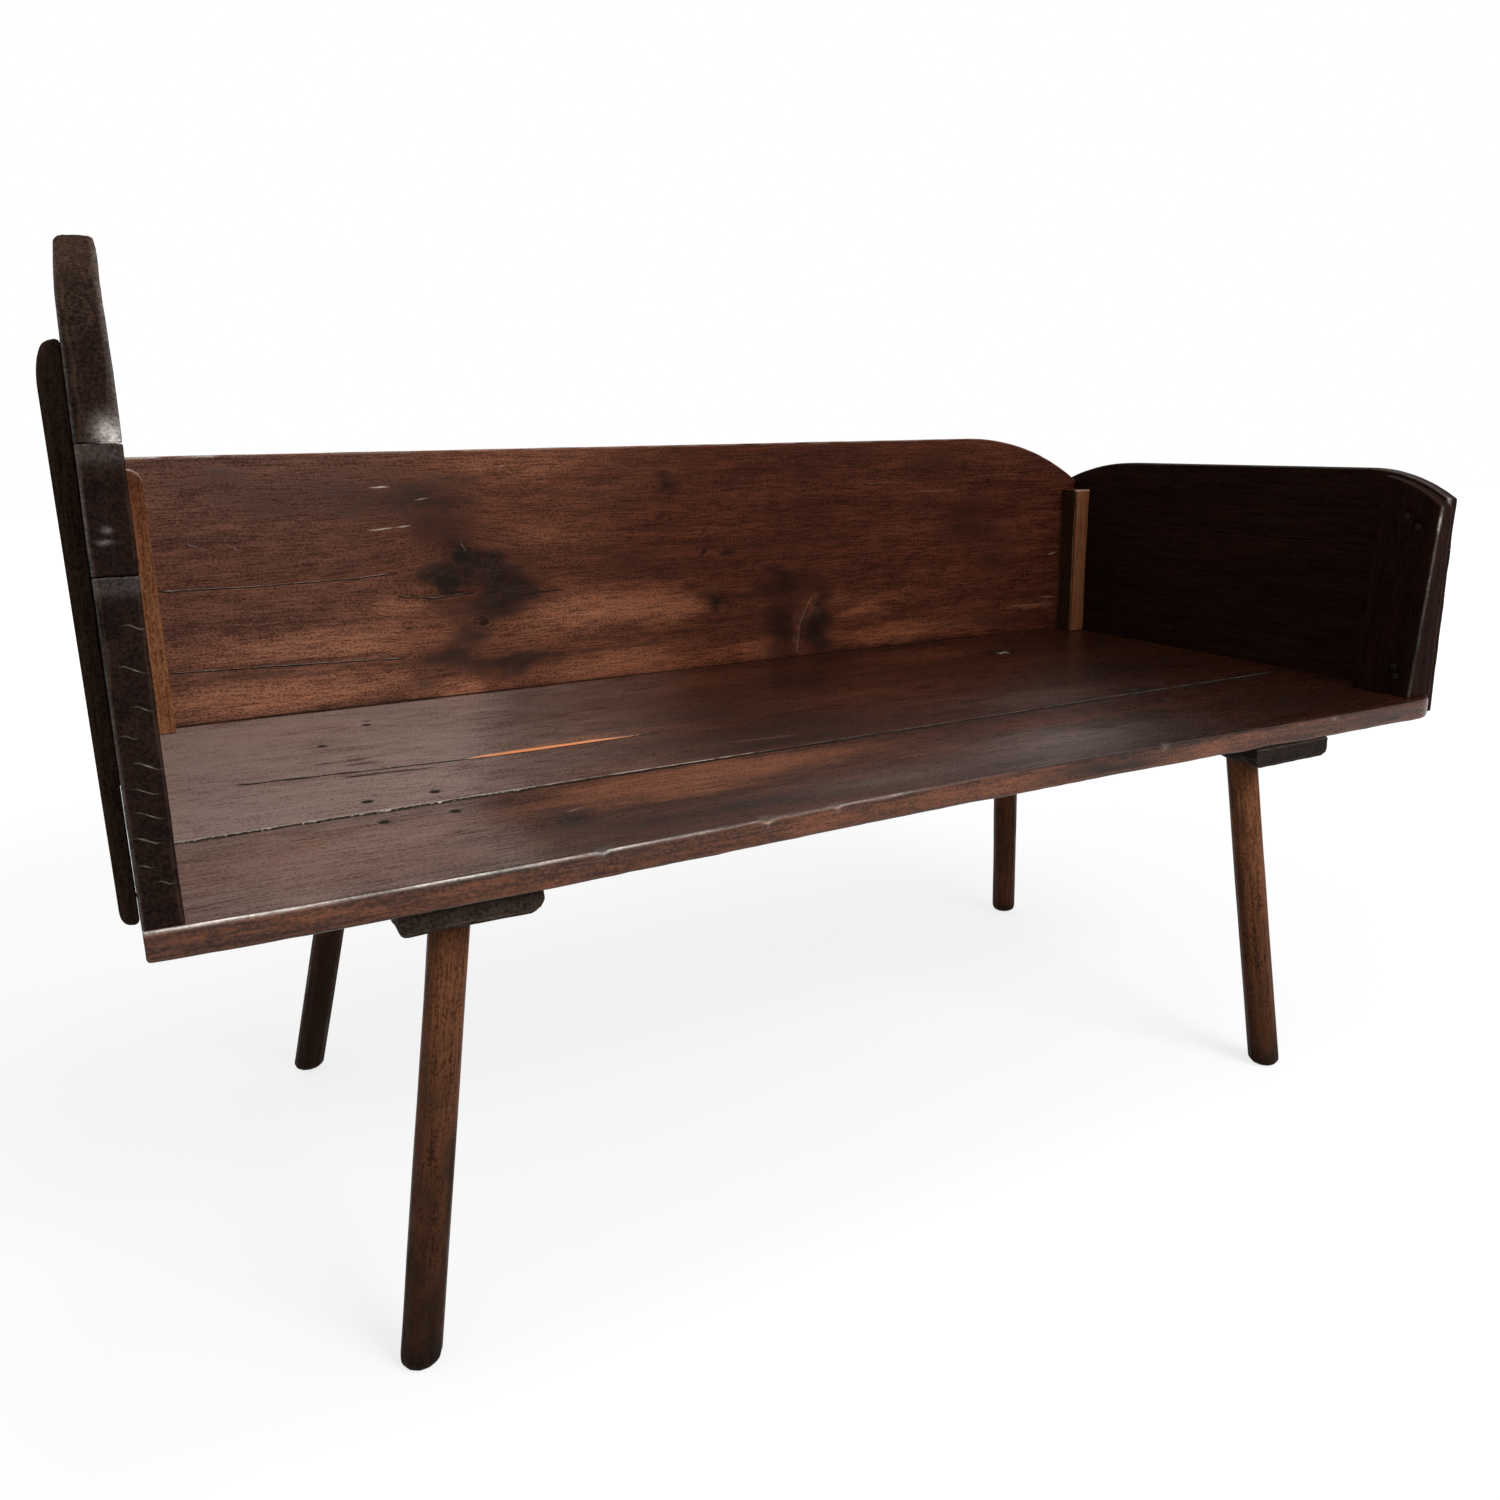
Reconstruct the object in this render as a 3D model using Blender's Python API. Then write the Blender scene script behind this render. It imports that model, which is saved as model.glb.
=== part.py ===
"""Church pew: a plank settle with a tall arched end, a low end and four splayed stick legs.

Sizes are in metres. The pew is laid out from the floor under the tall end's front corner:
X runs along the seat to the low end, Y from the front edge to the back, Z up. One empty
carries every piece and moves the layout so that the origin is under the middle of the pew.
"""

import math

import bmesh
import bpy
from mathutils import Matrix, Vector

# Fits
SEAM = 0.0003
PLANK_SEAM = 0.0010
PEG_CLEARANCE = 0.0003
OVERCUT = 0.004

# Seat
SEAT_TOP = 0.455
SEAT_LENGTH = 1.500
SEAT_DEPTH = 0.690
SEAT_THICKNESS = 0.025
FRONT_PLANK_DEPTH = 0.211
SEAT_CORNER_RADIUS = 0.040
SEAT_ARRIS = 0.0025

# Battens under the seat
BATTEN_WIDTH = 0.122
BATTEN_THICKNESS = 0.024
BATTEN_SETBACK_FRONT = 0.006
BATTEN_SETBACK_REAR = 0.012
BATTEN_LEFT_PLACE = 0.242
BATTEN_RIGHT_PLACE = 0.271
BATTEN_OUTER_ROUND = 0.008
BATTEN_INNER_ROUND = 0.016

# Legs
LEG_RADIUS = 0.0185
FOOT_ROUND = 0.009
TENON_RADIUS = 0.013
LEG_FROM_FRONT = 0.080
LEG_FROM_REAR = 0.165
SPLAY_FRONT_LEFT = (-0.074, -0.058)
SPLAY_FRONT_RIGHT = (0.022, -0.059)
SPLAY_REAR_LEFT = (-0.074, 0.102)
SPLAY_REAR_RIGHT = (0.070, 0.072)
WEDGE_DEPTH = 0.013
WEDGE_TOP = 0.0044
WEDGE_TIP = 0.0020
WEDGE_MARGIN = 0.001

# Back board
BACK_HEIGHT = 0.3235
BACK_THICKNESS = 0.022
BACK_FALL_RADIUS = 0.400
BACK_FALL_RUN = 0.230

# Tall end, three boards on edge
TALL_END_THICKNESS = 0.029
TALL_LOWER_HEIGHT = 0.253
TALL_MIDDLE_HEIGHT = 0.087
TALL_ARCH_RISE = 0.168
END_BATTEN_THICKNESS = 0.014
END_BATTEN_WIDTH = 0.070
END_BATTEN_INSET = 0.086
END_BATTEN_RISE = 0.412
END_BATTEN_ROUND = 0.011

# Low end, two boards on edge
LOW_END_THICKNESS = 0.018
LOW_END_SETBACK = 0.027
LOW_LOWER_HEIGHT = 0.183
LOW_UPPER_HEIGHT = 0.0985
LOW_FRONT_FALL_RADIUS = 0.213
LOW_FRONT_FALL_RUN = 0.118
LOW_REAR_FALL_RADIUS = 0.405
LOW_REAR_FALL_RUN = 0.150

# Tapered cleat inside the low end's front edge
FRONT_CLEAT_SETBACK = 0.020
FRONT_CLEAT_DEPTH = 0.083
FRONT_CLEAT_FOOT = 0.043
FRONT_CLEAT_HEAD = 0.017
FRONT_CLEAT_DROP = 0.004

# Cleats in the two back corners
TALL_CLEAT_WIDTH = 0.038
TALL_CLEAT_DEPTH = 0.029
TALL_CLEAT_HEIGHT = 0.311
TALL_CLEAT_ROUND = 0.016
LOW_CLEAT_WIDTH = 0.030
LOW_CLEAT_DEPTH = 0.035
LOW_CLEAT_HEIGHT = 0.2365

# Nails
NAIL_HEAD_RADIUS = 0.0045
NAIL_HEAD_THICKNESS = 0.0018
NAIL_SHANK_RADIUS = 0.0017
NAIL_POINT = 0.006
NAIL_SUNK = 0.0004
NAIL_GRIP = 0.015
NAIL_END_GRIP = 0.032
NAIL_TURN = 0.29
SEAT_NAIL_ACROSS = 0.033
SEAT_NAIL_BEFORE_JOINT = 0.036
SEAT_NAIL_BEHIND_JOINT = 0.039
SEAT_NAIL_FROM_BACK = 0.105
SEAT_NAIL_REAR_STEP = 0.083
CLEAT_NAIL_INSET = 0.028
CLEAT_NAIL_AHEAD = 0.017
CLEAT_NAIL_STEP = 0.012
CLEAT_NAIL_LOW = 0.023
CLEAT_NAIL_BELOW_TOP = 0.070
LOW_NAIL_INSET = 0.095
LOW_NAIL_BEHIND_JOINT = 0.150
BACK_NAIL_INSET = 0.150

# Worn edges and roundness
BOARD_ARRIS = 0.0025
CLEAT_ARRIS = 0.0020
ARC_STEPS = 12
ARCH_STEPS = 32
LEG_SIDES = 20
NAIL_SIDES = 8

# Places worked out from the sizes above
SEAT_UNDERSIDE = SEAT_TOP - SEAT_THICKNESS
SEAT_MIDDLE = SEAT_TOP - SEAT_THICKNESS / 2
SEAT_BEARING = SEAT_TOP + SEAM
BATTEN_TOP = SEAT_UNDERSIDE - SEAM
BATTEN_UNDERSIDE = BATTEN_TOP - BATTEN_THICKNESS
BATTEN_LEFT_X = BATTEN_LEFT_PLACE
BATTEN_RIGHT_X = SEAT_LENGTH - BATTEN_RIGHT_PLACE
BACK_FRONT_Y = SEAT_DEPTH + SEAM
BACK_REAR_Y = BACK_FRONT_Y + BACK_THICKNESS
LOW_INNER_X = SEAT_LENGTH + SEAM
LOW_OUTER_X = LOW_INNER_X + LOW_END_THICKNESS
END_BATTEN_OUTER_X = -SEAM - END_BATTEN_THICKNESS
END_BATTEN_REAR_START = SEAT_DEPTH - END_BATTEN_INSET - END_BATTEN_WIDTH
TALL_MIDDLE_Z = SEAT_BEARING + TALL_LOWER_HEIGHT + SEAM
TALL_TOP_Z = TALL_MIDDLE_Z + TALL_MIDDLE_HEIGHT + SEAM
LOW_UPPER_Z = SEAT_TOP + LOW_LOWER_HEIGHT + SEAM
LOW_TOP_Z = LOW_UPPER_Z + LOW_UPPER_HEIGHT
MIDDLE_X = (END_BATTEN_OUTER_X + LOW_OUTER_X) / 2
MIDDLE_Y = BACK_REAR_Y / 2


def clear_scene():
    """Remove whatever the scene holds."""
    for item in list(bpy.data.objects):
        bpy.data.objects.remove(item, do_unlink=True)


def wood(name, colour, roughness):
    """A plain varnished wood."""
    material = bpy.data.materials.new(name)
    material.use_nodes = True
    shader = material.node_tree.nodes["Principled BSDF"]
    shader.inputs["Base Color"].default_value = (*colour, 1.0)
    shader.inputs["Roughness"].default_value = roughness
    shader.inputs["Metallic"].default_value = 0.0
    return material


def iron(name):
    """Dark wrought iron for the nails."""
    material = wood(name, (0.030, 0.026, 0.024), 0.55)
    material.node_tree.nodes["Principled BSDF"].inputs["Metallic"].default_value = 0.8
    return material


def place(name, mesh, material, location):
    """Link a mesh into the scene as one piece of the pew."""
    piece = bpy.data.objects.new(name, mesh)
    piece.location = location
    piece.parent = CARRIER
    bpy.context.scene.collection.objects.link(piece)
    if material is not None:
        mesh.materials.append(material)
    return piece


def mesh_from(name, form):
    """Turn a bmesh into a mesh whose faces point out."""
    bmesh.ops.recalc_face_normals(form, faces=form.faces)
    mesh = bpy.data.meshes.new(name)
    form.to_mesh(mesh)
    form.free()
    return mesh


def extruded(name, outline, axis, length):
    """Extrude a flat outline along an axis: X takes (y, z), Y takes (x, z), Z takes (x, y)."""
    lift = {
        "X": lambda a, b: Vector((0.0, a, b)),
        "Y": lambda a, b: Vector((a, 0.0, b)),
        "Z": lambda a, b: Vector((a, b, 0.0)),
    }[axis]
    step = {"X": Vector((length, 0, 0)), "Y": Vector((0, length, 0)), "Z": Vector((0, 0, length))}[axis]
    form = bmesh.new()
    face = form.faces.new([form.verts.new(lift(a, b)) for a, b in outline])
    grown = bmesh.ops.extrude_face_region(form, geom=[face])
    moved = [part for part in grown["geom"] if isinstance(part, bmesh.types.BMVert)]
    bmesh.ops.translate(form, verts=moved, vec=step)
    return mesh_from(name, form)


def turned(name, profile, sides):
    """Spin a profile of (radius, height) points about Z."""
    form = bmesh.new()
    points = [form.verts.new((radius, 0.0, height)) for radius, height in profile]
    edges = [form.edges.new(pair) for pair in zip(points, points[1:])]
    bmesh.ops.spin(
        form, geom=points + edges, cent=(0, 0, 0), axis=(0, 0, 1), angle=math.tau, steps=sides, use_merge=True
    )
    bmesh.ops.remove_doubles(form, verts=form.verts, dist=0.00001)
    return mesh_from(name, form)


def arc(centre, radius, start, end, steps=ARC_STEPS):
    """Points on a circle between two angles in degrees."""
    angles = [math.radians(start + (end - start) * i / steps) for i in range(steps + 1)]
    return [(centre[0] + radius * math.cos(a), centre[1] + radius * math.sin(a)) for a in angles]


def fall(edge, top, radius, run, side):
    """A straight top edge falling away in an arc to a board's end; side is 1 towards + and -1 towards -."""
    centre = (edge - side * run, top - radius)
    reach = math.degrees(math.asin(run / radius))
    if side > 0:
        return arc(centre, radius, 90 - reach, 90)
    return arc(centre, radius, 90, 90 + reach)


def ease(piece, width):
    """Round the arrises as use and sanding have."""
    bevel = piece.modifiers.new("worn arris", "BEVEL")
    bevel.width = width
    bevel.segments = 1
    bevel.limit_method = "ANGLE"
    bevel.angle_limit = math.radians(40)


def cutter(name, mesh, location, rotation=(0, 0, 0)):
    """A shape that only cuts others."""
    tool = place(name, mesh, None, location)
    tool.rotation_euler = rotation
    tool.hide_render = True
    tool.display_type = "WIRE"
    return tool


def cut(piece, tool):
    """Take a cutter's shape out of a piece."""
    boolean = piece.modifiers.new(tool.name, "BOOLEAN")
    boolean.operation = "DIFFERENCE"
    boolean.solver = "EXACT"
    boolean.object = tool


def smooth(piece):
    """Shade a round piece smooth."""
    piece.data.shade_smooth()
    piece.data.set_sharp_from_angle(angle=math.radians(40))


def drive_nail(name, point, direction, length, boards):
    """Set one nail with its head just under the surface at a point, and bore the boards for it."""
    under = -NAIL_SUNK - NAIL_HEAD_THICKNESS
    profile = [
        (0.0, -NAIL_SUNK),
        (NAIL_HEAD_RADIUS, -NAIL_SUNK),
        (NAIL_HEAD_RADIUS, under),
        (NAIL_SHANK_RADIUS, under),
        (NAIL_SHANK_RADIUS, NAIL_POINT - length),
        (0.0, -length),
    ]
    hole = [
        (0.0, OVERCUT),
        (NAIL_HEAD_RADIUS + PEG_CLEARANCE, OVERCUT),
        (NAIL_HEAD_RADIUS + PEG_CLEARANCE, under - PEG_CLEARANCE),
        (NAIL_SHANK_RADIUS + PEG_CLEARANCE, under - PEG_CLEARANCE),
        (NAIL_SHANK_RADIUS + PEG_CLEARANCE, -length - PEG_CLEARANCE),
        (0.0, -length - PEG_CLEARANCE),
    ]
    aim = Vector((0, 0, -1)).rotation_difference(Vector(direction)).to_matrix()
    turn = (aim @ Matrix.Rotation(NAIL_TURN, 3, "Z")).to_euler()
    nail = place(name, turned(name, profile, NAIL_SIDES), IRON, point)
    nail.rotation_euler = turn
    smooth(nail)
    tool = cutter("bore_" + name, turned("bore_" + name, hole, NAIL_SIDES), point, turn)
    for board in boards:
        cut(board, tool)


def make_seat():
    """Two planks edge to edge; the front plank's outer corner is rounded off."""
    radius = SEAT_CORNER_RADIUS
    front = [(0.0, 0.0)]
    front += arc((SEAT_LENGTH - radius, radius), radius, -90, 0)
    front += [(SEAT_LENGTH, FRONT_PLANK_DEPTH), (0.0, FRONT_PLANK_DEPTH)]
    rear_depth = SEAT_DEPTH - FRONT_PLANK_DEPTH - PLANK_SEAM
    rear = [(0.0, 0.0), (SEAT_LENGTH, 0.0), (SEAT_LENGTH, rear_depth), (0.0, rear_depth)]
    planks = []
    for name, outline, start in (
        ("seat_front_plank", front, 0.0),
        ("seat_rear_plank", rear, FRONT_PLANK_DEPTH + PLANK_SEAM),
    ):
        mesh = extruded(name, outline, "Z", SEAT_THICKNESS)
        plank = place(name, mesh, SEAT_WOOD, (0.0, start, SEAT_UNDERSIDE))
        ease(plank, SEAT_ARRIS)
        planks.append(plank)
    return planks


def make_seat_batten(name, middle, outward):
    """A cross batten under both planks, its lower arrises rounded; outward is -1 left and 1 right."""
    half = BATTEN_WIDTH / 2
    left = BATTEN_OUTER_ROUND if outward < 0 else BATTEN_INNER_ROUND
    right = BATTEN_INNER_ROUND if outward < 0 else BATTEN_OUTER_ROUND
    outline = [(-half, BATTEN_THICKNESS)]
    outline += arc((-half + left, left), left, 180, 270, ARC_STEPS // 2)
    outline += arc((half - right, right), right, 270, 360, ARC_STEPS // 2)
    outline += [(half, BATTEN_THICKNESS)]
    length = SEAT_DEPTH - BATTEN_SETBACK_FRONT - BATTEN_SETBACK_REAR
    mesh = extruded(name, outline, "Y", length)
    return place(name, mesh, BATTEN_WOOD, (middle, BATTEN_SETBACK_FRONT, BATTEN_UNDERSIDE))


def make_leg(name, top, splay, batten):
    """A round splayed leg: rounded foot, plain shaft, tenon through the batten, wedge in the tenon."""
    shoulder = BATTEN_UNDERSIDE - SEAM
    peak = BATTEN_TOP
    lean = Matrix.Identity(4)
    lean[0][2] = -splay[0] / shoulder
    lean[1][2] = -splay[1] / shoulder
    foot = Vector((top[0] + splay[0], top[1] + splay[1], 0.0))

    profile = [(0.0, 0.0)]
    profile += arc((LEG_RADIUS - FOOT_ROUND, FOOT_ROUND), FOOT_ROUND, 270, 360, ARC_STEPS // 2)
    profile += [(LEG_RADIUS, shoulder), (TENON_RADIUS, shoulder), (TENON_RADIUS, peak), (0.0, peak)]
    mesh = turned(name, profile, LEG_SIDES)
    mesh.transform(lean)
    leg = place(name, mesh, LEG_WOOD, foot)
    smooth(leg)

    bore = TENON_RADIUS + PEG_CLEARANCE
    low = shoulder - OVERCUT
    high = peak + OVERCUT
    mortise = turned("mortise_" + name, [(0.0, low), (bore, low), (bore, high), (0.0, high)], LEG_SIDES)
    mortise.transform(lean)
    cut(batten, cutter("mortise_" + name, mortise, foot))

    centre = foot + lean @ Vector((0.0, 0.0, peak))
    mouth = WEDGE_TOP / 2
    tip = WEDGE_TIP / 2
    gap = PEG_CLEARANCE
    kerf = [
        (mouth + gap, OVERCUT),
        (mouth + gap, 0.0),
        (tip + gap, -WEDGE_DEPTH - gap),
        (-tip - gap, -WEDGE_DEPTH - gap),
        (-mouth - gap, 0.0),
        (-mouth - gap, OVERCUT),
    ]
    reach = TENON_RADIUS + OVERCUT
    tool = extruded("kerf_" + name, kerf, "X", 2 * reach)
    cut(leg, cutter("kerf_" + name, tool, centre - Vector((reach, 0.0, 0.0))))

    chord = TENON_RADIUS - WEDGE_MARGIN
    outline = [(mouth, 0.0), (tip, -WEDGE_DEPTH), (-tip, -WEDGE_DEPTH), (-mouth, 0.0)]
    wedge = name.replace("leg_", "leg_wedge_")
    slant = Matrix.Identity(4)
    slant[0][2] = lean[0][2]
    mesh = extruded(wedge, outline, "X", 2 * chord)
    mesh.transform(slant)
    place(wedge, mesh, CLEAT_WOOD, centre - Vector((chord, 0.0, 0.0)))


def make_back():
    """One wide board behind the seat, its top falling in an arc towards the low end."""
    rise = BACK_HEIGHT + SEAT_THICKNESS
    outline = [(0.0, 0.0), (SEAT_LENGTH, 0.0)]
    outline += fall(SEAT_LENGTH, rise, BACK_FALL_RADIUS, BACK_FALL_RUN, 1)
    outline += [(0.0, rise)]
    mesh = extruded("back_board", outline, "Y", BACK_THICKNESS)
    board = place("back_board", mesh, BACK_WOOD, (0.0, BACK_FRONT_Y, SEAT_UNDERSIDE))
    ease(board, BOARD_ARRIS)
    return board


def make_tall_end():
    """Three boards stacked on edge on the seat; the top one is a half ellipse."""
    boards = []
    for name, height, low in (
        ("tall_end_lower_board", TALL_LOWER_HEIGHT, SEAT_BEARING),
        ("tall_end_middle_board", TALL_MIDDLE_HEIGHT, TALL_MIDDLE_Z),
    ):
        outline = [(0.0, 0.0), (SEAT_DEPTH, 0.0), (SEAT_DEPTH, height), (0.0, height)]
        mesh = extruded(name, outline, "X", TALL_END_THICKNESS)
        boards.append(place(name, mesh, TALL_END_WOOD, (0.0, 0.0, low)))

    half = SEAT_DEPTH / 2
    turns = [math.pi * i / ARCH_STEPS for i in range(ARCH_STEPS + 1)]
    outline = [(half + half * math.cos(t), TALL_ARCH_RISE * math.sin(t)) for t in turns]
    mesh = extruded("tall_end_top_board", outline, "X", TALL_END_THICKNESS)
    boards.append(place("tall_end_top_board", mesh, TALL_END_WOOD, (0.0, 0.0, TALL_TOP_Z)))
    for board in boards:
        ease(board, BOARD_ARRIS)
    return boards


def make_end_batten(name, start):
    """An upright batten outside the tall end, from the seat's underside up, with rounded ends."""
    rise = END_BATTEN_RISE + SEAT_THICKNESS
    radius = END_BATTEN_ROUND
    thick = END_BATTEN_THICKNESS
    outline = [(thick, 0.0), (thick, rise)]
    outline += arc((radius, rise - radius), radius, 90, 180, ARC_STEPS // 2)
    outline += arc((radius, radius), radius, 180, 270, ARC_STEPS // 2)
    mesh = extruded(name, outline, "Y", END_BATTEN_WIDTH)
    return place(name, mesh, TALL_END_WOOD, (END_BATTEN_OUTER_X, start, SEAT_UNDERSIDE))


def make_low_end():
    """Two boards stacked on edge against the seat's end, the top corners falling in arcs."""
    length = BACK_REAR_Y - LOW_END_SETBACK
    rise = LOW_LOWER_HEIGHT + SEAT_THICKNESS
    lower = [(0.0, 0.0), (length, 0.0), (length, rise), (0.0, rise)]
    upper = [(0.0, 0.0), (length, 0.0)]
    upper += fall(length, LOW_UPPER_HEIGHT, LOW_REAR_FALL_RADIUS, LOW_REAR_FALL_RUN, 1)
    upper += fall(0.0, LOW_UPPER_HEIGHT, LOW_FRONT_FALL_RADIUS, LOW_FRONT_FALL_RUN, -1)
    boards = []
    for name, outline, low in (
        ("low_end_lower_board", lower, SEAT_UNDERSIDE),
        ("low_end_upper_board", upper, LOW_UPPER_Z),
    ):
        mesh = extruded(name, outline, "X", LOW_END_THICKNESS)
        board = place(name, mesh, LOW_END_WOOD, (LOW_INNER_X, LOW_END_SETBACK, low))
        ease(board, BOARD_ARRIS)
        boards.append(board)
    return boards


def front_cleat_thickness(height):
    """The cleat thins evenly from its foot on the seat to its head."""
    rise = LOW_TOP_Z - SEAT_TOP
    return FRONT_CLEAT_FOOT + (FRONT_CLEAT_HEAD - FRONT_CLEAT_FOOT) * height / rise


def make_front_cleat():
    """An upright on the seat inside the low end's front edge, tapering in thickness to its head."""
    peak = LOW_TOP_Z - SEAT_BEARING - FRONT_CLEAT_DROP
    ahead = LOW_END_SETBACK - FRONT_CLEAT_SETBACK
    centre = (ahead + LOW_FRONT_FALL_RUN, peak - LOW_FRONT_FALL_RADIUS)
    outline = [(0.0, 0.0), (FRONT_CLEAT_DEPTH, 0.0)]
    for i in range(ARC_STEPS // 2 + 1):
        along = FRONT_CLEAT_DEPTH * (1 - i / (ARC_STEPS // 2))
        aside = min(along, centre[0]) - centre[0]
        outline.append((along, centre[1] + math.sqrt(LOW_FRONT_FALL_RADIUS**2 - aside**2)))
    mesh = extruded("low_end_front_cleat", outline, "X", 1.0)
    for vertex in mesh.vertices:
        vertex.co.x = -front_cleat_thickness(vertex.co.z) * (1.0 - vertex.co.x)
    cleat = place("low_end_front_cleat", mesh, LOW_END_WOOD, (SEAT_LENGTH, FRONT_CLEAT_SETBACK, SEAT_BEARING))
    ease(cleat, CLEAT_ARRIS)
    return cleat


def make_corner_cleats():
    """A square cleat in each back corner; the one at the tall end has its head rounded off."""
    width = TALL_CLEAT_WIDTH
    radius = TALL_CLEAT_ROUND
    outline = [(0.0, 0.0), (width, 0.0)]
    outline += arc((width - radius, TALL_CLEAT_HEIGHT - radius), radius, 0, 90, ARC_STEPS // 2)
    outline += [(0.0, TALL_CLEAT_HEIGHT)]
    mesh = extruded("corner_cleat_tall_end", outline, "Y", TALL_CLEAT_DEPTH)
    spot = (TALL_END_THICKNESS + SEAM, SEAT_DEPTH - TALL_CLEAT_DEPTH, SEAT_BEARING)
    tall = place("corner_cleat_tall_end", mesh, CLEAT_WOOD, spot)

    outline = [(0.0, 0.0), (LOW_CLEAT_WIDTH, 0.0), (LOW_CLEAT_WIDTH, LOW_CLEAT_DEPTH), (0.0, LOW_CLEAT_DEPTH)]
    mesh = extruded("corner_cleat_low_end", outline, "Z", LOW_CLEAT_HEIGHT)
    spot = (SEAT_LENGTH - LOW_CLEAT_WIDTH, SEAT_DEPTH - LOW_CLEAT_DEPTH, SEAT_BEARING)
    low = place("corner_cleat_low_end", mesh, CLEAT_WOOD, spot)
    for cleat in (tall, low):
        ease(cleat, CLEAT_ARRIS)
    return tall, low


def nail_seat(planks, battens):
    """Nails down through the planks into the battens, on both sides of the joint and near the back."""
    front, rear = planks
    left, right = battens
    depth = SEAT_THICKNESS + BATTEN_THICKNESS - NAIL_POINT / 2
    near = FRONT_PLANK_DEPTH - SEAT_NAIL_BEFORE_JOINT
    far = FRONT_PLANK_DEPTH + SEAT_NAIL_BEHIND_JOINT
    last = SEAT_DEPTH - SEAT_NAIL_FROM_BACK
    places = [
        (left, front, BATTEN_LEFT_X - SEAT_NAIL_ACROSS, near),
        (left, front, BATTEN_LEFT_X + SEAT_NAIL_ACROSS, near),
        (left, rear, BATTEN_LEFT_X - SEAT_NAIL_ACROSS, far),
        (left, rear, BATTEN_LEFT_X + SEAT_NAIL_ACROSS, far),
        (left, rear, BATTEN_LEFT_X - SEAT_NAIL_ACROSS, last - SEAT_NAIL_REAR_STEP),
        (left, rear, BATTEN_LEFT_X + SEAT_NAIL_ACROSS, last),
        (right, front, BATTEN_RIGHT_X - SEAT_NAIL_ACROSS, near),
        (right, rear, BATTEN_RIGHT_X + SEAT_NAIL_ACROSS, far),
        (right, rear, BATTEN_RIGHT_X + SEAT_NAIL_ACROSS, last - SEAT_NAIL_REAR_STEP),
        (right, rear, BATTEN_RIGHT_X - SEAT_NAIL_ACROSS, last),
    ]
    for number, (batten, plank, along, back) in enumerate(places, 1):
        drive_nail(f"nail_seat_{number}", (along, back, SEAT_TOP), (0, 0, -1), depth, (plank, batten))


def nail_tall_end(battens, boards, planks, back):
    """Nails through the upright battens into the seat and each board, and through the back."""
    front_plank, rear_plank = planks
    lower, middle, top = boards
    levels = [
        ("seat", SEAT_MIDDLE, None),
        ("lower", SEAT_BEARING + TALL_LOWER_HEIGHT / 2, lower),
        ("middle", TALL_MIDDLE_Z + TALL_MIDDLE_HEIGHT / 2, middle),
        ("top", (TALL_TOP_Z + SEAT_TOP + END_BATTEN_RISE) / 2, top),
    ]
    rows = (
        ("front", battens[0], END_BATTEN_INSET, front_plank),
        ("rear", battens[1], END_BATTEN_REAR_START, rear_plank),
    )
    for row, batten, start, plank in rows:
        for level, height, board in levels:
            grip = NAIL_END_GRIP if board is None else NAIL_GRIP
            spot = (END_BATTEN_OUTER_X, start + END_BATTEN_WIDTH / 2, height)
            length = END_BATTEN_THICKNESS + grip
            drive_nail(f"nail_tall_{row}_{level}", spot, (1, 0, 0), length, (batten, board or plank))
    for level, height, board in (
        ("lower", SEAT_BEARING + TALL_LOWER_HEIGHT / 2, lower),
        ("middle", (TALL_MIDDLE_Z + SEAT_TOP + BACK_HEIGHT) / 2, middle),
    ):
        spot = (TALL_END_THICKNESS / 2, BACK_REAR_Y, height)
        length = BACK_THICKNESS + NAIL_END_GRIP
        drive_nail(f"nail_back_tall_{level}", spot, (0, -1, 0), length, (back, board))


def nail_low_end(boards, cleat, planks):
    """Nails through the front cleat into both boards, and through the lower board into the seat."""
    lower, upper = boards
    front_plank, rear_plank = planks
    low = SEAT_TOP + CLEAT_NAIL_LOW
    high = LOW_TOP_Z - CLEAT_NAIL_BELOW_TOP
    places = [
        ("upper_1", upper, CLEAT_NAIL_INSET + CLEAT_NAIL_AHEAD, high + CLEAT_NAIL_STEP),
        ("upper_2", upper, CLEAT_NAIL_INSET, high),
        ("lower_1", lower, CLEAT_NAIL_INSET, low + CLEAT_NAIL_STEP),
        ("lower_2", lower, CLEAT_NAIL_INSET - NAIL_HEAD_RADIUS, low),
    ]
    for name, board, along, height in places:
        thick = front_cleat_thickness(height - SEAT_BEARING)
        spot = (SEAT_LENGTH - thick, FRONT_CLEAT_SETBACK + along, height)
        length = thick + LOW_END_THICKNESS - NAIL_POINT / 2
        drive_nail(f"nail_cleat_{name}", spot, (1, 0, 0), length, (cleat, board))
    rows = (
        ("front", front_plank, LOW_END_SETBACK + LOW_NAIL_INSET),
        ("middle", rear_plank, FRONT_PLANK_DEPTH + LOW_NAIL_BEHIND_JOINT),
        ("rear", rear_plank, SEAT_DEPTH - LOW_NAIL_INSET),
    )
    for name, plank, along in rows:
        spot = (LOW_OUTER_X, along, SEAT_MIDDLE)
        length = LOW_END_THICKNESS + NAIL_END_GRIP
        drive_nail(f"nail_low_seat_{name}", spot, (-1, 0, 0), length, (lower, plank))


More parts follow.
